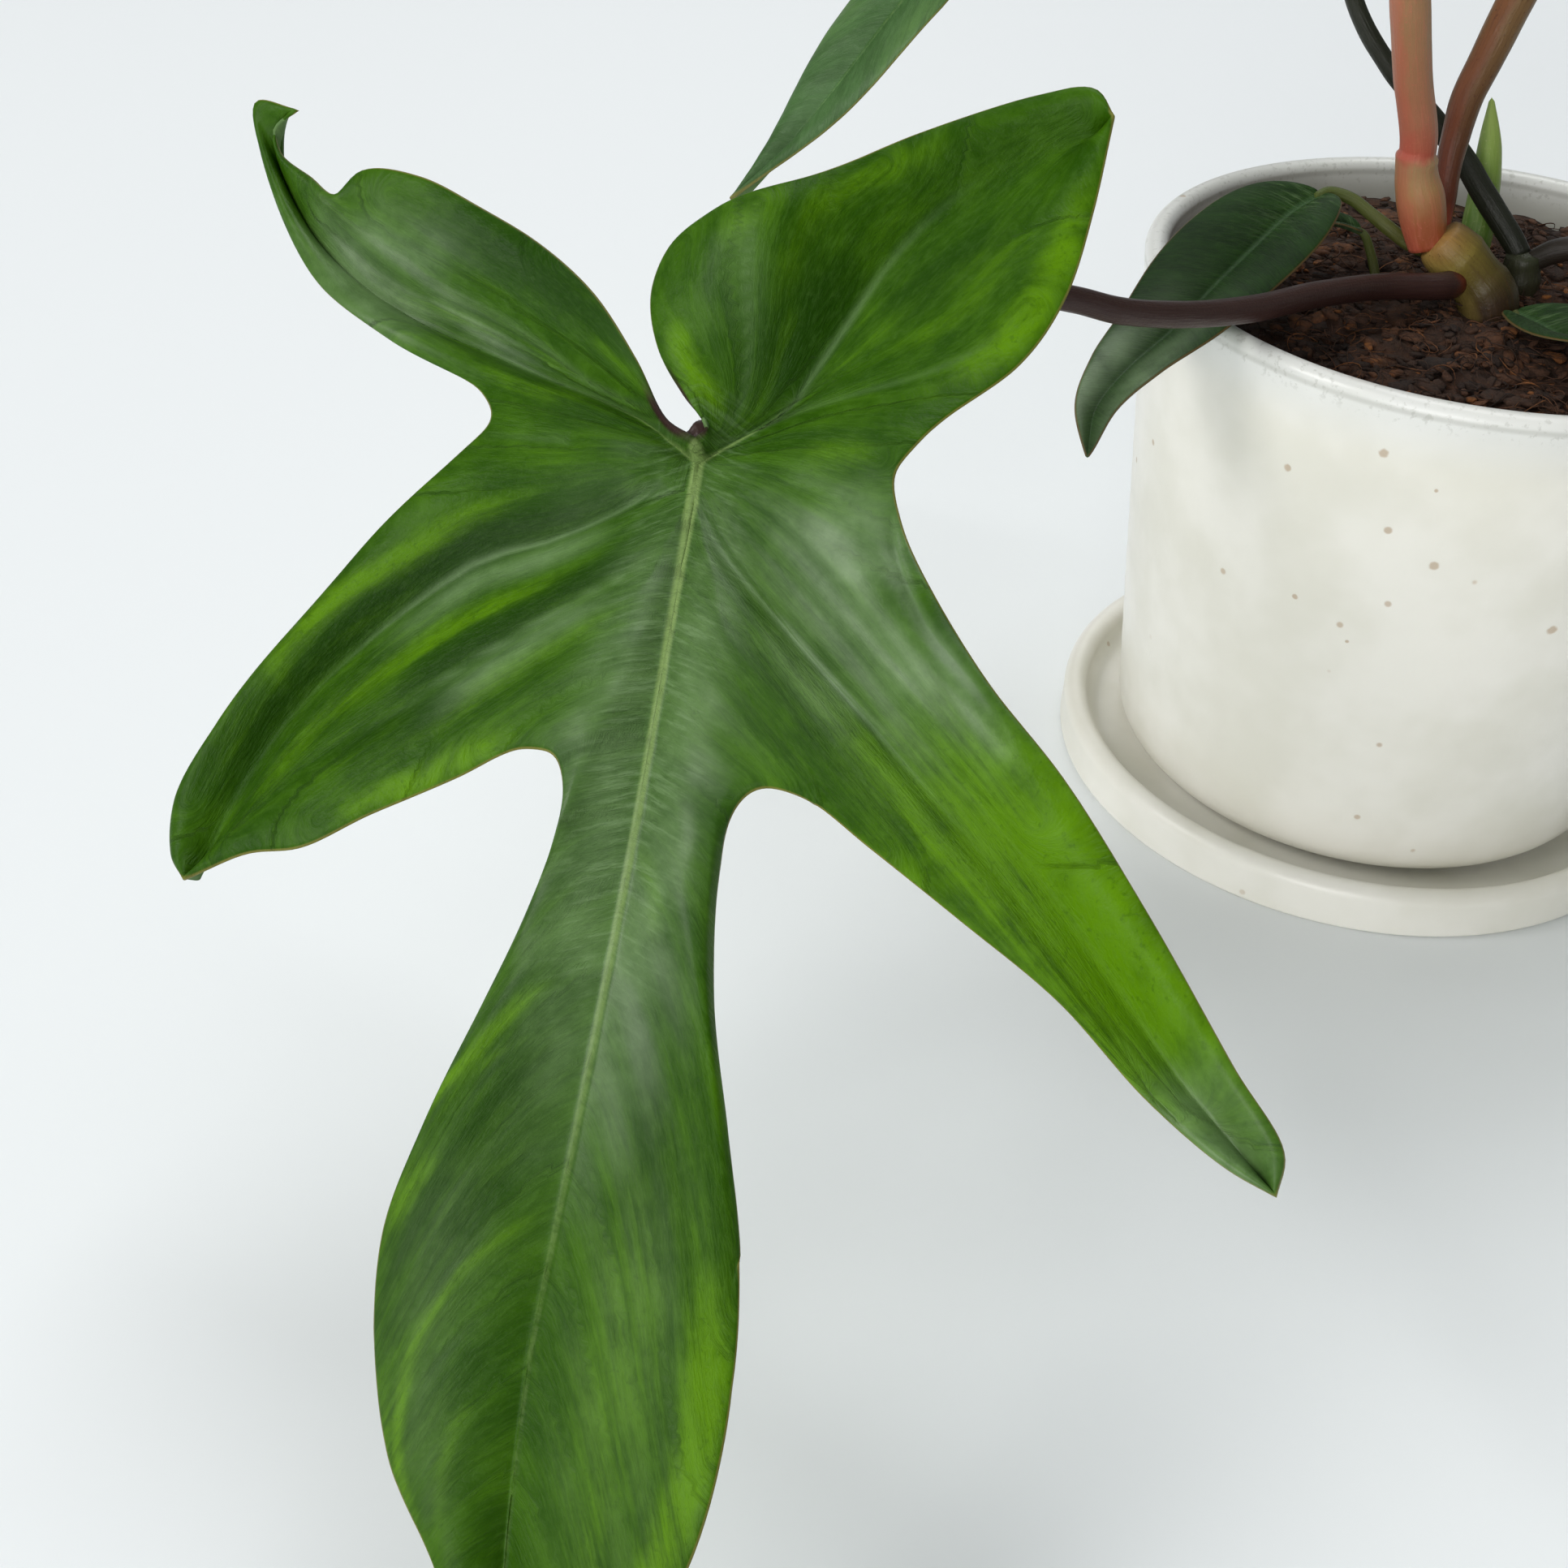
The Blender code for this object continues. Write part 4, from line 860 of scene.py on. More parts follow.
CURLED_HALF["shine"] = [
    *MIDRIB_COAT_AND_HIGHLIGHT,
    (0.3, 4, [(6, 6), (12, 9), (22, 14)]),
    (0.8, 4, [(44, -26), (56, -31), (66, -36)]),
    (0.9, 2.4, [(10, 15), (21, 21), (30, 24.5), (42, 35)]),
    (0.9, 2.4, [(6, 25.5), (12, 29.5), (21, 36.5), (32, 45)]),
    (0.9, 6, [(46, -14), (60, -24), (74, -38)]),
    (0.6, 2, [(28, -10), (40, -18), (54, -28)]),
]
# Painted shade on the left half, mostly bands on the shaded side just above its folds
CURLED_HALF["dusk"] = [
    (1.0, 2.6, [(12, 10.5), (21, 15), (30, 18), (39, 24.5), (48, 33), (56, 44)]),
    (1.0, 2.4, [(6, 19.5), (12, 23.5), (21, 30.5), (30, 37), (40, 45)]),
    (0.6, 4, [(52, 42), (60, 50), (64, 60)]),
    (0.7, 4, [(26, 42), (36, 47), (46, 54)]),
    (0.9, 4, [(14, -13), (25, -22), (36, -29), (46, -34)]),
    (0.4, 3, [(36, 33), (44, 40), (52, 50)]),
    (0.5, 5, [(4, 80), (10, 104), (14, 120)]),
]
PLAIN_HALF = {**WIDE_HALF, "back_inner": PLAIN_INNER}

# How a blade is bent, and where it hangs: its left and right half, the point where it joins its stalk, the
# ways to its tip and out of its upper side, its scale and form, and how fine its rows and columns are
Form = namedtuple("Form", "arch lift droop cup trough roll wave phase sway slim")
Leaf = namedtuple("Leaf", "halves joint tip face scale form detail columns", defaults=(7, 20))

FRONT_LEAF = Leaf((CURLED_HALF, WIDE_HALF), (-145, -125, 136.5), (-0.1, -0.787, -0.609),
                  (-0.248, -0.573, 0.781), 1.0, Form(0.0011, 0.004, 0.0011, 7, 4, 1, 0.8, 0.6, 1, 1),
                  12, 36)
UPRIGHT_LEAF = Leaf((PLAIN_HALF, PLAIN_HALF), (-57, -13, 266), (-0.72, -0.42, -0.55), (-0.35, -0.3, 0.89),
                    0.7, Form(0.0014, 0.003, 0.0016, 3, 5, 1.5, 1.5, 2, -1, 0.95))
SIDE_LEAF = Leaf((PLAIN_HALF, CURLED_HALF), (44, 13, 271), (0.8, -0.25, -0.55), (0.45, -0.25, 0.86),
                 0.95, Form(0.0016, 0.004, 0.0014, 4, 4, 2, 2, 4, 1.5, 0.95))
BACK_LEAF = Leaf((PLAIN_HALF, PLAIN_HALF), (-35, 91.4, 220), (-0.66, -0.46, -0.59), (-0.53, -0.31, 0.79),
                 0.95, Form(0.0012, 0.003, 0.0006, 3, 3, 1.5, 0.6, 1, -1.5, 0.55))
LOW_LEAF = Leaf((PLAIN_HALF, PLAIN_HALF), (104, -27, 130), (0.66, -0.6, -0.45), (0.35, -0.3, 0.89),
                0.78, Form(0.0015, 0.004, 0.0018, 3, 4, 1.5, 1.6, 3, -1, 0.95))

JOINT_PLACE = (0.0, 8.0)
ROW_CROWDING = 0.55  # how much closer the points of a row are at its ends
VEIN_PLEAT = 0.13
PUCKER_DEPTH = 0.13
PUCKER_SIZE = 1.7
RIB_HEIGHT = 0.2
RIB_DEPTH = 0.9
ROLL_REACH = 3.2
ROLL_DEPTH = 1.8
ROLL_SPAN = (50.0, 120.0)
ROLL_HALF = 24.0
# How wide the painted highlight along a deep fold is
CREASE_LINE = 0.55
CREASE_LEAST = 0.3  # a fold deeper than this gets a painted highlight along its line
NOTCH_EASE = 0.36
LEAF_RELIEF = 0.00028


def ease_corner(line, place, detail):
    """A line whose corner at one place is rounded: near it, a moving average weighted as a bell curve."""
    reach = NOTCH_EASE * detail
    rows = np.arange(len(line)) - place
    bell = np.exp(-((np.arange(-2 * detail, 2 * detail + 1) / reach) ** 2))
    padded = np.pad(line, ((2 * detail, 2 * detail), (0, 0)), mode="edge")
    averaged = np.stack([np.convolve(padded[:, i], bell / bell.sum(), "valid") for i in (0, 1)], axis=1)
    share = np.exp(-((rows / (2.2 * reach)) ** 4))[:, None]
    return line + (averaged - line) * share


def half_rows(half, side, detail):
    """The rows of one half, from the centre lobe's tip round to the notch: rib ends and margin ends."""
    flip = np.array([side, 1])
    centre, sides, back = CENTRE_ROWS * detail, SIDE_ROWS * detail, BACK_ROWS * detail
    midrib = smooth_path([(0, BLADE_LENGTH - 1.2), SIDE_BRANCH], centre)
    side_rib = smooth_path([SIDE_BRANCH, *half["side_rib"]], sides)
    back_rib = smooth_path([RIB_ROOT, *half["back_rib"]], back)
    ribs = np.vstack([midrib, side_rib[1:], side_rib[-2::-1], back_rib, back_rib[-2::-1]])
    first = smooth_path([*half["centre"], half["side_lower"][0]], centre)
    second = smooth_path([*half["side_lower"], half["side_tip"]], sides)
    third = smooth_path([half["side_tip"], *half["side_upper"], half["back_outer"][0]], sides)
    fourth = smooth_path([*half["back_outer"], half["back_tip"]], back + 1)
    fifth = smooth_path([half["back_tip"], *half["back_inner"], NOTCH], back)
    margin = np.vstack([first, second[1:], third[1:], fourth[1:], fifth[1:]])
    margin = ease_corner(margin, centre, detail)
    margin = ease_corner(margin, centre + 2 * sides, detail)
    return ribs * flip, margin * flip


def sway(v):
    """How far the midrib strays sideways along the blade."""
    swing = SWAY_WIDTH * np.sin(math.pi * np.clip(v, 0, SWAY_SPAN) / SWAY_SPAN)
    return swing + HOOK_WIDTH * (np.maximum(v - BLADE_LENGTH + HOOK_SPAN, 0) / HOOK_SPAN) ** 2


def bend(u, v, form):
    """How far the blade stands off its plane: arched to the tip, drooping sideways, lifted behind."""
    along = form.arch * ARCH_SPAN * v + np.where(v > 0, -form.arch, form.lift) * v * v
    away = ((u - CUP_PLACE[0]) / CUP_SIZE[0]) ** 2 + ((v - CUP_PLACE[1]) / CUP_SIZE[1]) ** 2
    return along - form.droop * u * u + form.cup * np.exp(-away)


def blade_axes(leaf):
    """The blade's own axes: across, towards the tip and out of its upper side."""
    tip = unit(leaf.tip)
    face = unit(leaf.face - tip * np.dot(leaf.face, tip))
    return np.stack([np.cross(face, tip), tip, face])


def seat(leaf, start, radius):
    """The last point of the stalk that carries a leaf, as the solids have it."""
    axes = blade_axes(leaf)
    root = np.array([0, RIB_ROOT[1], bend(0.0, RIB_ROOT[1], leaf.form)]) * leaf.scale
    root = leaf.joint + root @ axes
    rise = unit(root - start[:3]) @ axes[2]
    reach = radius * max(STALK_TIP * rise, math.sqrt(1 - rise * rise))
    return (*(root - axes[2] * (reach + SOLID_HALF_THICKNESS)), radius)


def line_distance(places, line):
    """For each flat place: its distance to a line, and the share of the line that lies before its foot."""
    line = np.asarray(line, float)
    steps = np.diff(line, axis=0)
    before = distance_along(line)
    best = np.full(len(places), np.inf)
    share = np.zeros(len(places))
    for start, way, length, passed in zip(line, steps, np.linalg.norm(steps, axis=1), before):
        t = clip((places - start) @ way / length**2)
        gap = np.linalg.norm(places - start - t[:, None] * way, axis=1)
        nearer = gap < best
        best = np.where(nearer, gap, best)
        share = np.where(nearer, (passed + t * length) / before[-1], share)
    return best, share


def fold_depth(places, folds):
    """How deep the folds sink each place: depth * exp(-distance / width), fading towards the fold's end."""
    sunk = np.zeros(len(places))
    for deep, width, line in folds:
        gap, passed = line_distance(places, smooth_path(line, 16))
        fade = np.sqrt(clip(1 - passed)) * clip(0.35 + passed * 6)
        sunk += deep * fade * np.exp(-np.hypot(gap, 0.3) / width)
    return sunk


def vein_number(places, veins):
    """Which vein each place is on: n on vein n, n + a / (a + b) at distances a and b from it and the next.

    The veins' numbers are averaged by 1 / distance ** 4, and the power is taken out again afterwards."""
    total, weights = np.zeros((2, len(places)))
    for number, (_, _, line) in enumerate(veins):
        gap, _ = line_distance(places, smooth_path(line, 12))
        weight = 1 / (gap * gap + 1e-4) ** 2
        total += weight * number
        weights += weight
    number = total / weights
    whole = np.floor(number)
    part = clip(number - whole) ** 0.25
    rest = clip(1 - number + whole) ** 0.25
    return whole + part / (part + rest)


def line_glow(places, lines):
    """How strongly the lines show: strength * exp(-(distance / width) ** 2), fading at their ends."""
    glow = np.zeros(len(places))
    for strength, width, line in lines:
        gap, passed = line_distance(places, smooth_path(line, 16))
        fade = clip(4 * passed * (1 - passed) + 0.15) ** 0.7
        glow = np.maximum(glow, strength * fade * np.exp(-((gap / width) ** 2)))
    return glow


def blade_marks(leaf, places, on_right, edge):
    """What a blade's finish reads at its flat places, how deep its relief sinks them, and how far along its
    midrib they are. The relief is its folds, the pleats between its veins and its rolled edge."""
    mid, passed = line_distance(places, [(0, 3.5), (0, BLADE_LENGTH)])
    across, down = np.abs(places[:, 0]), places[:, 1]
    far = np.hypot(places[:, 0] - JOINT_PLACE[0], places[:, 1] - JOINT_PLACE[1])
    marks = {key: np.zeros(len(places)) for key in ("vein", "crease", "glow", "shine", "dusk")}
    marks.update(pale=mid / (1.05 - 0.85 * passed), far=far, mid=mid, edge=edge, across=across, down=down)
    sunk = np.zeros(len(places))
    for half, side, mine in zip(leaf.halves, (-1, 1), (~on_right, on_right)):
        spots = places[mine] * (side, 1)
        folds = half["veins"] + half.get("folds", [])
        sunk[mine] = fold_depth(spots, folds)
        # Deep folds get a painted highlight along their lines
        creases = [(deep, CREASE_LINE, line) for deep, _, line in folds if deep > CREASE_LEAST]
        marks["crease"][mine] = line_glow(spots, creases)
        marks["vein"][mine] = vein_number(spots, half["veins"])
        for key in ("glow", "shine", "dusk"):
            marks[key][mine] = line_glow(spots, half[key])
        gap, along = line_distance(spots, smooth_path([RIB_ROOT, *half["back_rib"]], 24))
        marks["pale"][mine] = np.minimum(marks["pale"][mine], gap / 0.8 + 0.3 + along * 3.5)
    inward = clip(mid / 6) * clip(edge / 4) * clip(far / 14)
    sunk += VEIN_PLEAT * np.cos(marks["vein"] * math.tau) * inward
    pucker = lumps(across * 0.3, down - 0.45 * across, PUCKER_SIZE, 9)
    sunk += PUCKER_DEPTH * pucker * np.exp(-mid / 6) * clip(mid / 1.5) * clip((90 - down) / 50)
    rolled = clip(1 - edge / ROLL_REACH) ** 2
    window = clip((down - ROLL_SPAN[0]) / 12) * clip((ROLL_SPAN[1] - down) / 25)
    sunk += ROLL_DEPTH * rolled * window * on_right * (across < ROLL_HALF)
    return marks, sunk, passed


def lobed_blade(name, node, leaf, finish):
    """A lobed blade as a thin shell.

    Straight rows run from the ribs to the margin, as on the solid. The middle surface has the solid's
    bend, trough, roll and wave, its trough rounder towards the lobes' tips, plus the folds of its veins
    and the soft pleats between them. Both faces stand half a thickness off it, rounded to nothing at the
    margin, with the midrib raised on both."""
    form = leaf.form
    left_ribs, left_margin = half_rows(leaf.halves[0], -1, leaf.detail)
    right_ribs, right_margin = half_rows(leaf.halves[1], 1, leaf.detail)
    ribs = np.vstack([right_ribs, left_ribs[-2::-1]])
    margin = np.vstack([right_margin, left_margin[-2::-1]])
    margin = ribs + form.slim * (margin - ribs)
    even = np.linspace(0, 1, leaf.columns + 1)
    share = even - ROW_CROWDING * np.sin(math.tau * even) / math.tau
    flat = ribs[:, None] + share[None, :, None] * (margin - ribs)[:, None]
    u, v = flat[..., 0], flat[..., 1]
    wave = np.sin(distance_along(margin) * math.tau / WAVE_LENGTH + form.phase)[:, None]
    soft = 0.06 + 0.4 * clip(np.abs(ribs[:, :1]) / 60)
    opened = (np.hypot(share, soft) - soft) / (np.hypot(1, soft) - soft)
    height = bend(u, v, form) + form.trough * (1 - (1 - opened) ** 2)
    height = height - form.roll * share**5 + form.wave * share**2 * wave
    surface = np.stack([u + form.sway * sway(v), v, height], axis=-1)

    # Rows that meet at a rib or a lobe's tip share their points
    flat = flat.reshape(-1, 2)
    _, chosen, grid = np.unique(np.round(flat, 3), axis=0, return_index=True, return_inverse=True)
    grid = grid.reshape(u.shape)
    edge = ((1 - share)[None, :] * np.linalg.norm(margin - ribs, axis=1)[:, None]).reshape(-1)[chosen]
    marks, sunk, passed = blade_marks(leaf, flat[chosen], chosen // u.shape[1] < len(right_ribs), edge)
    surface = surface.reshape(-1, 3)[chosen]
    surface[:, 2] -= sunk
    surface = surface * leaf.scale
    skin = grid_triangles(grid)
    normals = point_normals(surface, skin)
    normals *= np.sign(normals[:, 2].sum())
    inner = clip(edge / EDGE_ROUND)
    thick = LEAF_HALF_THICKNESS * rounded(inner, 0.02)
    ridge = RIB_HEIGHT * clip(1.2 - marks["pale"]) * inner
    keel = RIB_DEPTH * ((1.1 - passed) * np.exp(-(marks["mid"] ** 2)) * inner)
    top = surface + normals * (thick + ridge)[:, None]
    bottom = surface - normals * (thick + keel)[:, None]
    points = leaf.joint + np.vstack([top, bottom]) @ blade_axes(leaf)
    rim = (grid[:-1, -1], grid[1:, -1])
    return make_shell(name, node, points, skin, rim, marks, finish)


def leaf_finish(shade, look):
    """A leaf with a soft gloss, dark green between yellow-green streaks and with a pale granular midrib,
    painted darker in shade and paler with sheen.

    vein and far run across and along the veins, so noise that is stretched along far makes streaks."""
    vein, far, glow, pale, mid, edge = map(shade.mark, ("vein", "far", "glow", "pale", "mid", "edge"))
    under, across, down, shine, dusk = map(shade.mark, ("under", "across", "down", "shine", "dusk"))
    crease = shade.mark("crease")
    place = shade.place()

    def streaks(fineness, along, seed, detail, roughness):
        where = shade.point(vein * fineness, far * along, look["seed"] + seed)
        return shade.noise(where, 1.0, detail, roughness)

    wide = streaks(1.3, 0.03, 0.0, 3.0, 0.55)
    narrow = streaks(4.5, 0.07, 5.0, 4.0, 0.62)
    fine = streaks(15.0, 0.4, 9.0, 3.0, 0.65)
    mottle = shade.noise(place, 150.0, 5.0, 0.62)
    crumb = shade.noise(place, 900.0, 3.0, 0.6)
    grain = shade.noise(place, 2600.0)
    pucker = shade.noise(shade.point(across * 0.16, down - across * 0.45, look["seed"]), 1.0, 4.0, 0.65)

    tone = (wide * 0.45 + narrow * 0.35 + mottle * 0.25 + (fine - 0.5) * 0.12 - dusk * 0.12).step(0.4, 0.66)
    colour = shade.mix(tone, look["deep"], look["green"])
    glowing = ((glow - dusk * 0.5) * (narrow * 1.6 + mottle * 1.1 + fine * 0.3 - 0.6)).step(0.08, 1.0)
    stray = (wide * 0.5 + narrow * 0.5).step(0.55, 0.7) * (mid / 24).clamp() * 0.35
    colour = shade.mix(shade.math("MAXIMUM", glowing, stray) * look["glow"], colour, look["bright"])
    # Painted shade: dark green in the valleys and on the shaded side above the deep folds
    colour = shade.mix(dusk * 0.55, colour, look["dusk"])
    colour = shade.mix(fine.step(0.42, 0.7) * 0.14 + crumb.step(0.58, 0.72) * 0.1, colour, look["satin"])
    colour = shade.mix(crumb.step(0.42, 0.3) * 0.3, colour, look["deep"])
    # Painted sheen: grey-green near the midrib
    near = mid.step(9.0, 0.0) * down.step(95.0, 30.0) * fine.step(0.3, 0.7)
    colour = shade.mix((near * 0.4).clamp(), colour, look["satin"])
    # Painted sheen: pale grey-green on the pucker ridges near the midrib, along the deep folds and in the
    # glossy patches
    ridge = pucker.step(0.48, 0.66) * mid.step(13.0, 2.0) * down.step(95.0, 60.0)
    wax = ridge * 0.3 + crease * far.step(66.0, 30.0) * 0.25
    wax = wax + shine * shine * mottle * 0.7 + shine * mottle * 0.2
    colour = shade.mix(wax.clamp(), colour, look["wax"])
    rib = (1 - down.step(20.0, 140.0) * 0.82 - crumb.step(0.6, 0.4) * 0.15).clamp()
    colour = shade.mix(pale.step(1.15, 0.45) * rib * look["rib_share"], colour, look["rib"])
    colour = shade.mix(edge.step(0.4, 0.15) * 0.7, colour, look["margin"])
    notch = far.step(19.0, 12.0) * down.step(4.0, 1.0) * edge.step(1.7, 0.9)
    colour = shade.mix(notch * 0.92, colour, look["joint"])
    colour = shade.mix(under, colour, shade.mix(tone, look["below"], look["below_pale"]))
    height = pucker * mid.step(15.0, 1.0) * down.step(95.0, 55.0) * 2.2
    height = height + fine * 0.7 + narrow * 0.4 + grain * 0.15
    coat = (shine * (narrow * 0.25 + mottle * 0.7 + fine * 0.2) + 0.02).clamp() * (1 - under)
    return {"Base_Color": colour, "Roughness": look["rough"] + mottle * 0.12 + fine * 0.05 + under * 0.25,
            "Coat_Weight": coat, "Normal": shade.bump(height, LEAF_RELIEF)}


def paint(base=(), **values):
    """A leaf's colours and shares: those of the base, and these in their place or beside them."""
    colours = {key: tint(*value) if isinstance(value, tuple) else value for key, value in values.items()}
    return {**dict(base), **colours}


# Each look's colours include a painted sheen, a grey-green that is partly painted sheen and partly the
# leaf's own, and a painted shade
FRONT_LOOK = paint(seed=3.0, glow=0.75, rib_share=0.9, rough=0.3, deep=(35, 70, 2), green=(58, 97, 8),
                   bright=(92, 138, 2), satin=(74, 108, 48), wax=(122, 150, 104), dusk=(14, 42, 0),
                   rib=(126, 152, 86), margin=(130, 122, 62), joint=(50, 24, 30), below=(84, 112, 66),
                   below_pale=(104, 132, 80))
# The far leaves' greens are paler and greyer than the front one's, partly as painted sheen
FAR_LOOK = paint(FRONT_LOOK, seed=17.0, glow=0.5, rough=0.38, deep=(50, 82, 36), green=(68, 103, 54),
                 bright=(96, 134, 52), satin=(98, 124, 84))
YOUNG_LOOK = paint(FRONT_LOOK, seed=31.0, glow=0.15, rib_share=0.45, rough=0.4, deep=(12, 40, 2),
                   green=(24, 57, 6), bright=(56, 92, 26), rib=(84, 116, 78), margin=(110, 84, 56),
                   below=(70, 94, 62), below_pale=(84, 108, 72))


# Young leaves: their midribs, and half their width

RIM_BLADE = [(-30.6, 12.3, 125.2), (-38, 4.1, 124), (-47, -8.4, 121.2), (-54.7, -19.7, 118.9),
             (-65.3, -35.7, 115.4), (-74.1, -46.7, 112.4), (-79.8, -56, 109.2),
             (-81.6, -65.9, 105.4)]
SMALL_BLADE = [(-21.4, 11, 118.6), (-25.9, 11.1, 119.8), (-30.5, 10.2, 120.3), (-34.5, 8.8, 119)]
SOIL_BLADE = [(5.2, -10.8, 112.4), (8.5, -17, 112.8), (11.5, -24.5, 113.6), (19, -34, 116.8),
              (30, -44.5, 119.6), (41, -52.5, 119.3), (49, -58, 115.5), (55, -62, 108)]
RIM_WIDTH = 12.5
SMALL_WIDTH = 3.6
SOIL_WIDTH = 12.0
YOUNG_FOLD = 0.35
YOUNG_HALF_THICKNESS = 0.25
YOUNG_EDGE = 0.5  # how wide the rounding at its margin is
YOUNG_VEIN = 7.0  # between two side veins


def young_blade(name, node, midrib, width, finish, steps=170, columns=44):
    """A pointed blade along a curved midrib, folded up to both sides of it.

    Its half width at share s of the length is width * sin(pi * s ** 0.6) ** 0.8, as on the solid, and side
    veins crease it a little."""
    centres = smooth_path(midrib, steps)
    along = unit(np.gradient(centres, axis=0))
    across = unit(np.cross((0, 0, 1), along))
    normal = np.cross(along, across)[:, None]
    far = distance_along(centres)[:, None]
    s = np.linspace(0.004, 0.997, steps + 1)[:, None]
    half = width * np.sin(math.pi * s**0.6) ** 0.8 + 0.15
    even = np.linspace(-1, 1, columns + 1)
    share = even - 0.25 * np.sin(math.tau * even) / math.tau
    out = np.abs(share)
    sideways, edge = out * half, (1 - out) * half
    slant = far - sideways * 0.9
    veins = 0.5 * lumps(slant, 0 * slant + 3 * np.sign(share), 6.0, 77) * out * (1 - out)
    rise = YOUNG_FOLD * half * (1.25 * out - 0.45 * share**4) + veins * clip(half / 4)
    middle = centres[:, None] + (half * share)[..., None] * across[:, None] + rise[..., None] * normal
    thick = YOUNG_HALF_THICKNESS * rounded(edge / YOUNG_EDGE, 0.03)
    rib = 0.5 * np.exp(-((sideways / 0.8) ** 2)) * (1 - 0.7 * s)
    top = middle + (thick - 0.3 * rib)[..., None] * normal
    bottom = middle - (thick + rib)[..., None] * normal
    grid = np.arange(middle[..., 0].size).reshape(middle.shape[:2])
    rim = np.concatenate([grid[0, :], grid[1:, -1], grid[-1, -2::-1], grid[-2:0:-1, 0]])
    # Beside the midrib and towards the tip the coat is glossier and a highlight is painted
    nothing = 0 * sideways
    marks = {**dict.fromkeys(("far", "mid", "across"), sideways),
             **dict.fromkeys(("glow", "crease", "dusk"), nothing),
             "vein": slant / YOUNG_VEIN, "edge": edge, "pale": sideways / (0.9 - 0.6 * s),
             "down": far + 60 + nothing, "shine": np.exp(-((sideways / 4 - 1) ** 2)) * clip(2.4 * s**3)}
    points = np.vstack([top.reshape(-1, 3), bottom.reshape(-1, 3)])
    skin = grid_triangles(grid)
    return make_shell(name, node, points, skin, (rim, np.roll(rim, -1)), marks, finish)


# The knuckle where a stalk meets its blade

KNUCKLE_RADIUS = 2.4
KNUCKLE_SHAPE = (1.0, 1.25, 0.9)
KNUCKLE_PLACE = 1.2  # on the midrib, from the leaf's joint towards its tip
WART_HEIGHT = 0.14
PAST_THE_TIP = 1000.0  # takes the last of a stalk's tones, wherever it ends


def knuckle(name, leaf, finish):
    """A rough knob round the joint of stalk and blade: a ball with seeded warts, longer along the blade."""
    root = np.array([0, KNUCKLE_PLACE, bend(0.0, KNUCKLE_PLACE, leaf.form) - 1.0]) * leaf.scale
    ball = ball_rings(40, 22)
    x, y, z = (ball[..., k] for k in range(3))
    warts = 1 + WART_HEIGHT * lumps(x * 3 + z * 2, y * 3 - z * 2, 0.8, 41)
    pole = np.array([0, 0, KNUCKLE_SHAPE[2] * KNUCKLE_RADIUS])
    points, triangles = capped(ball * KNUCKLE_SHAPE * warts[..., None] * KNUCKLE_RADIUS, -pole, pole)
    points = leaf.joint + (points * leaf.scale + root) @ blade_axes(leaf)
    marks = {"along": np.full(len(points), PAST_THE_TIP), "turn": np.arctan2(points[:, 1], points[:, 0])}
    return make_piece(name, points, triangles, finish, marks=marks)


# Floor, lights and camera

FLOOR_SIZE = 8.0
FLOOR_TONE = tint(238, 242, 243)
CAMERA_PLACE = (-0.1311, -0.3703, 0.2640)
CAMERA_PITCH = 0.655  # down from level, in radians
CAMERA_ROLL = 0.054
CAMERA_LENS = 44.72
AIM = (0, 0, 0.1)
# Soft windows round the plant: name, place, size, power and colour
WINDOWS = [("window", (-3.3, -1.3, 2.9), (2.2, 2.2), 106.0, (1.0, 0.99, 0.98)),
           ("ceiling", (0.4, 1.0, 3.4), (2.0, 2.0), 57.0, (0.98, 0.99, 1.0)),
           ("back", (0.2, 3.9, 2.6), (2.2, 1.6), 14.0, (0.98, 0.99, 1.0)),
           ("front", (-1.5, -4.0, 1.4), (2.4, 2.0), 84.0, (1.0, 0.99, 0.98))]
SKY = [(0.3, (1.36, 1.38, 1.4, 1)), (0.6, (0.15, 0.155, 0.16, 1))]  # bright low down and dim overhead


def make_stage():
    mesh = bpy.data.meshes.new("floor")
    half = FLOOR_SIZE / 2
    corners = [(-half, -half, 0), (half, -half, 0), (half, half, 0), (-half, half, 0)]
    mesh.from_pydata(corners, [], [(0, 1, 2, 3)])
    mesh.materials.append(make_finish("floor", lambda shade: {}, Base_Color=FLOOR_TONE, Roughness=0.6))
    add_object("floor", mesh)


def make_lights():
    """A studio that is bright round the horizon, with soft windows on all sides, turned to the plant."""
    world = bpy.data.worlds.new("studio")
    world.use_nodes = True
    shade = Shade(world.node_tree)
    up = shade.node("SeparateXYZ", values={0: shade.node("TexCoord")}, out=2)
    sky = world.node_tree.nodes["Background"]
    world.node_tree.links.new(shade.ramp(up * 0.5 + 0.5, SKY).socket, sky.inputs["Color"])
    bpy.context.scene.world = world
    for name, place, size, power, colour in WINDOWS:
        lamp = bpy.data.lights.new(name, "AREA")
        lamp.shape = "RECTANGLE"
        lamp.size, lamp.size_y = size
        lamp.energy = power
        lamp.color = colour
        light = add_object(name, lamp)
        light.location = place
        light.rotation_euler = (Vector(AIM) - Vector(place)).to_track_quat("-Z", "Y").to_euler()


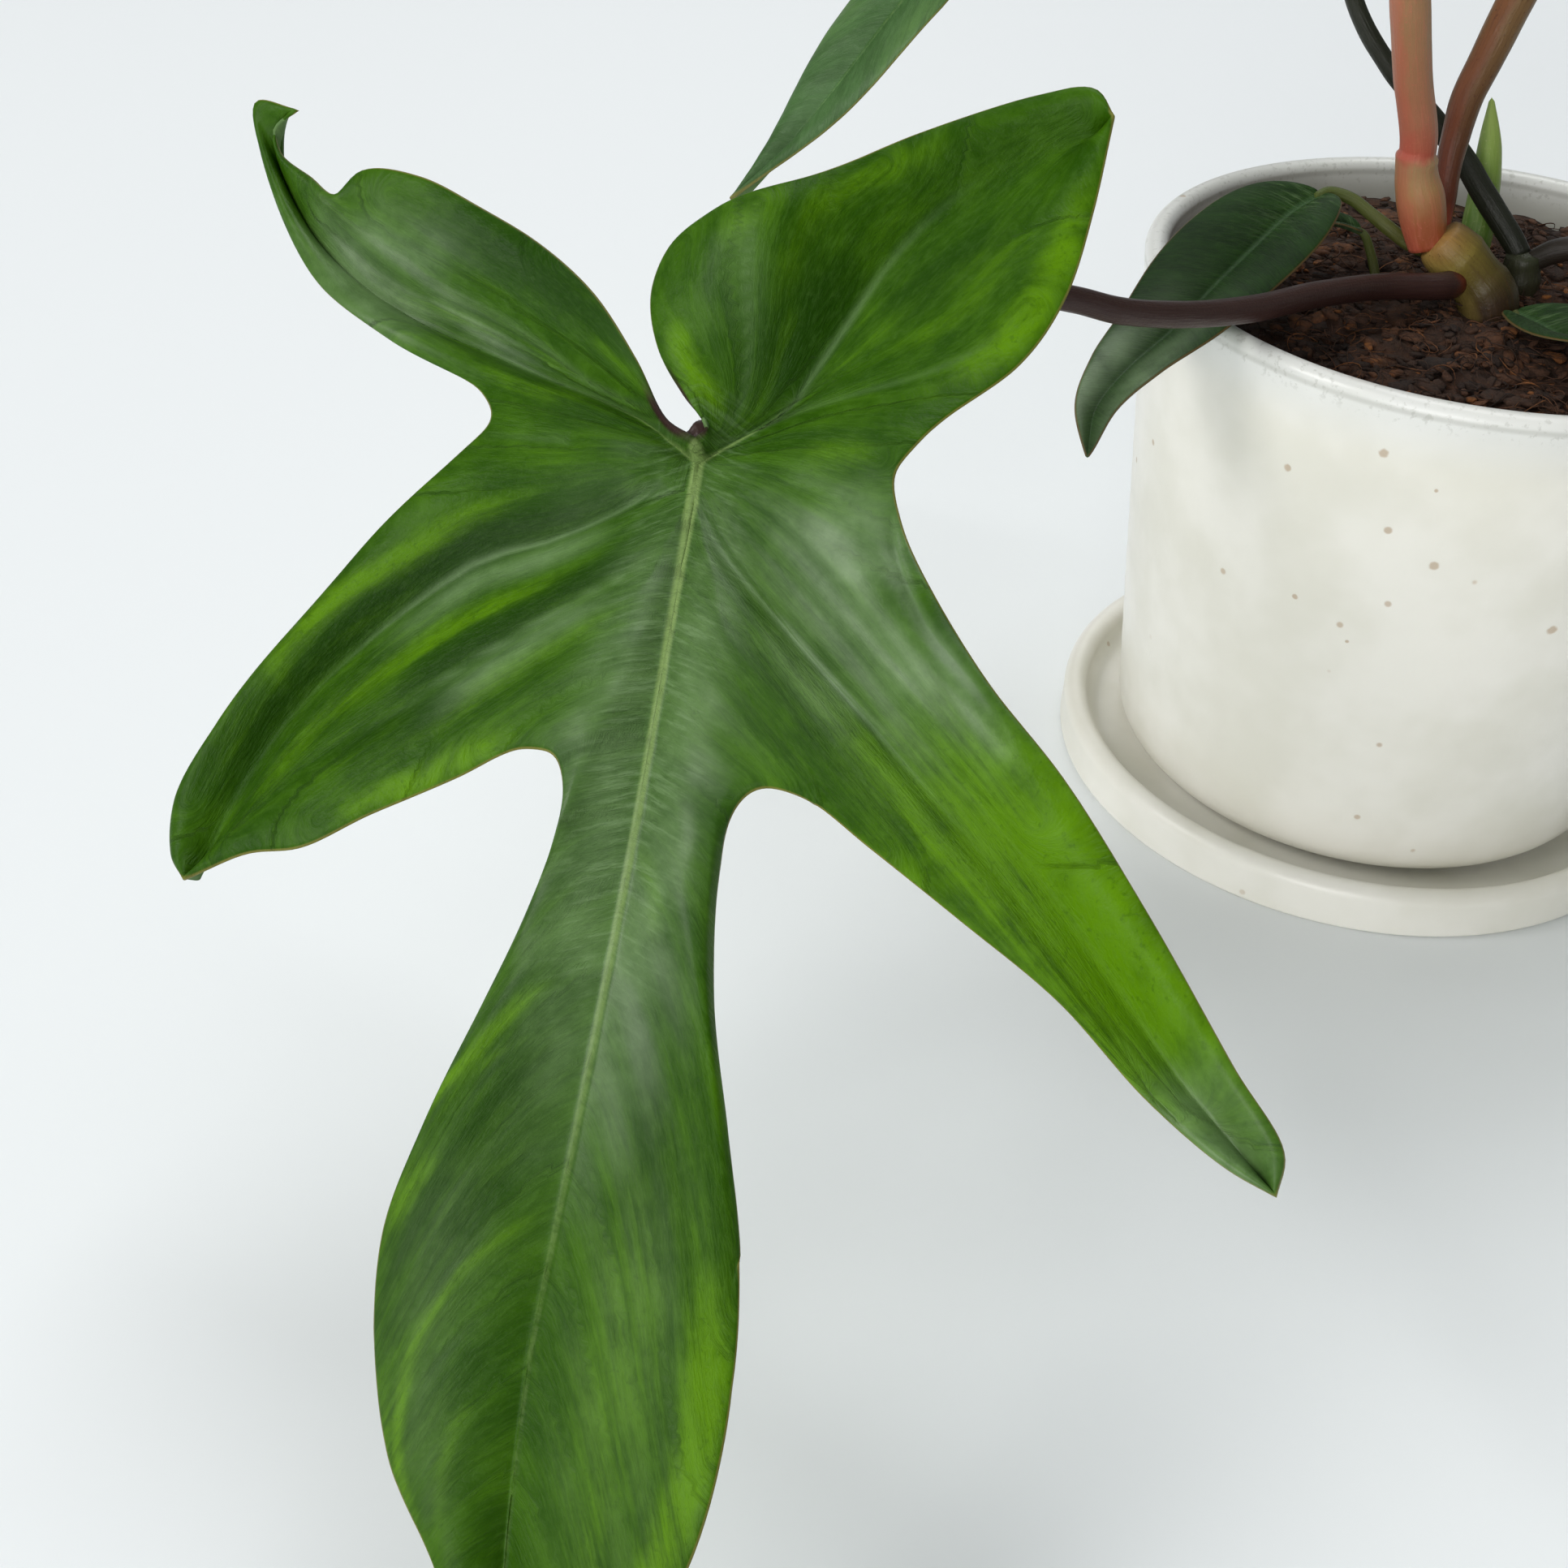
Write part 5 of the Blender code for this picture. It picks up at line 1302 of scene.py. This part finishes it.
def make_camera():
    lens = bpy.data.cameras.new("camera")
    lens.lens = CAMERA_LENS
    lens.sensor_width = 36.0
    lens.clip_start = 0.01
    lens.clip_end = 50.0
    camera = add_object("camera", lens)
    ahead = Vector((0, math.cos(CAMERA_PITCH), -math.sin(CAMERA_PITCH)))
    right, up = Vector((1, 0, 0)), Vector((0, math.sin(CAMERA_PITCH), math.cos(CAMERA_PITCH)))
    rolled_right = right * math.cos(CAMERA_ROLL) + up * math.sin(CAMERA_ROLL)
    rolled_up = up * math.cos(CAMERA_ROLL) - right * math.sin(CAMERA_ROLL)
    turn = Matrix((rolled_right, rolled_up, -ahead)).transposed().to_4x4()
    camera.matrix_world = Matrix.Translation(CAMERA_PLACE) @ turn
    bpy.context.scene.camera = camera
    bpy.context.scene.view_settings.view_transform = "Standard"


# The whole plant and its pot

# Skins of stems and stalks: tones along them, freckles, and for some a left side tone, partly their own
# warmer colour and partly painted light, and a right side tone, mostly painted shade
SKINS = {
    "main_stem": ([(0, (44, 32, 22)), (0.58, (52, 38, 24)), (0.7, (84, 72, 32)), (0.85, (124, 108, 48)),
                   (1, (150, 112, 60))], (74, 50, 24), (150, 132, 70), (62, 60, 26)),
    "side_stem": ([(0, (44, 34, 24)), (0.7, (52, 50, 34)), (1, (48, 52, 34))], (30, 26, 18)),
    "new_shoot": ([(0, (92, 106, 60)), (0.5, (84, 118, 36)), (1, (150, 172, 88))], (150, 160, 100),
                  (70, 100, 30), (156, 178, 92)),
    "thin_stalk": ([(0, (82, 78, 36)), (1, (78, 92, 36))], (60, 66, 26)),
    "front_stalk": ([(0, (120, 50, 30)), (0.014, (104, 44, 28)), (0.024, (56, 34, 30)), (1, (62, 45, 41))],
                    (40, 22, 24)),
    "pink_stalk": ([(0, (146, 68, 40)), (0.04, (160, 92, 58)), (0.09, (170, 132, 88)),
                    (0.127, (176, 142, 102)), (0.138, (178, 86, 68)), (0.18, (172, 112, 84)),
                    (0.3, (160, 120, 84)), (1, (140, 112, 70))],
                   (196, 112, 90), (192, 92, 78), (128, 106, 62)),
    "brown_stalk": ([(0, (160, 60, 30)), (0.05, (92, 42, 24)), (0.12, (92, 54, 30)), (0.28, (118, 88, 50)),
                     (1, (124, 100, 58))], (70, 34, 22), (128, 58, 40), (108, 92, 46)),
    "dark_stalk": ([(0, (30, 32, 22)), (1, (40, 42, 28))], (26, 26, 20)),
    "low_stalk": ([(0, (36, 34, 26)), (0.15, (48, 36, 32)), (1, (56, 38, 38))], (36, 24, 24)),
}
# Each stalk with a lobed leaf: its skin's length, its leaf, the radius under the leaf, the seed of its
# relief and its slot, then where a sheath ends on it and how high that stands
LEAF_STALKS = [("front", FRONT_STALK, 208.0, FRONT_LEAF, 1.8, 57, "stalk_purple", None),
               ("pink", PINK_STALK, 150.0, UPRIGHT_LEAF, 2.3, 58, "stalk_pink", (19.6, 0.7)),
               ("brown", BROWN_STALK, 155.0, SIDE_LEAF, 2.4, 59, "stalk_brown", None),
               ("dark", DARK_STALK, 140.0, BACK_LEAF, 1.6, 60, "stalk_dark", None),
               ("low", LOW_STALK, 95.0, LOW_LEAF, 1.9, 61, "stalk_purple", None)]


def stalk_material(kind, length):
    """The finish of one kind of stalk, with its tones spread over that length."""
    stops, *tones = SKINS[kind]
    stops = [(place, tint(*colour)) for place, colour in stops]
    freckle, *sides = [tint(*colour) for colour in tones]
    return make_finish(kind + "_skin", lambda shade: stalk_finish(shade, stops, length, freckle, sides),
                       Specular_IOR_Level=0.3)


def make_vessel():
    make_pot(make_finish("pot_glaze", lambda shade: glaze(shade, SPECKS, 0.6), Coat_Weight=0.25,
                         Coat_Roughness=0.2))
    make_saucer(make_finish("saucer_glaze", lambda shade: glaze(shade, [], 0.0), Coat_Weight=0.2,
                            Coat_Roughness=0.25))
    chip = make_finish("bark", bark, Roughness=0.85)
    make_soil(make_finish("bark_bed", bed, Roughness=0.9))
    make_chips(chip)
    make_fibres(chip)


def make_stalks():
    make_stalk("main_stem_bark", "main_stem", MAIN_STEM, stalk_material("main_stem", 38.0), "stem_olive",
               slim=0.9, heel=2.0, seed=51, dents=0.16, scars=(24.0, 31.0))
    make_stalk("side_stem_bark", "side_stem", SIDE_STEM, stalk_material("side_stem", 26.0), "stem_olive",
               seed=52, dents=0.25, scars=(19.0, 23.0))
    make_stalk("new_shoot_sheath", "new_shoot", NEW_SHOOT, stalk_material("new_shoot", 46.0),
               "shoot_green", seed=53, dents=0.1)
    thin = stalk_material("thin_stalk", 30.0)
    for name, path, seed in (("rim", RIM_STALK, 54), ("small", SMALL_STALK, 55), ("soil", SOIL_STALK, 56)):
        make_stalk(name + "_petiole", name + "_stalk", path, thin, "stalk_green", seed=seed)
    for name, path, length, leaf, radius, seed, slot, collar in LEAF_STALKS:
        finish = stalk_material(name + "_stalk", length)
        path = [*path, seat(leaf, path[-1], radius)]
        make_stalk(name + "_petiole", name + "_stalk", path, finish, slot, seed=seed, collar=collar)
        knuckle(name + "_knuckle", leaf, finish)


def make_leaves():
    front = make_finish("front_leaf_skin", lambda shade: leaf_finish(shade, FRONT_LOOK),
                        Specular_IOR_Level=0.08, Coat_Roughness=0.36)
    far = make_finish("leaf_skin", lambda shade: leaf_finish(shade, FAR_LOOK),
                      Specular_IOR_Level=0.22, Coat_Roughness=0.3)
    young = make_finish("young_leaf_skin", lambda shade: leaf_finish(shade, YOUNG_LOOK),
                        Specular_IOR_Level=0.1, Coat_Roughness=0.36)
    lobed_blade("front_blade", "front_leaf", FRONT_LEAF, front)
    others = {"upright": UPRIGHT_LEAF, "side": SIDE_LEAF, "back": BACK_LEAF, "low": LOW_LEAF}
    for name, leaf in others.items():
        lobed_blade(name + "_blade", name + "_leaf", leaf, far)
    young_blade("rim_blade", "rim_leaf", RIM_BLADE, RIM_WIDTH, young)
    young_blade("small_blade", "small_leaf", SMALL_BLADE, SMALL_WIDTH, young, steps=60, columns=24)
    young_blade("soil_blade", "soil_leaf", SOIL_BLADE, SOIL_WIDTH, young)


make_camera()
make_stage()
make_lights()
make_vessel()
make_stalks()
make_leaves()
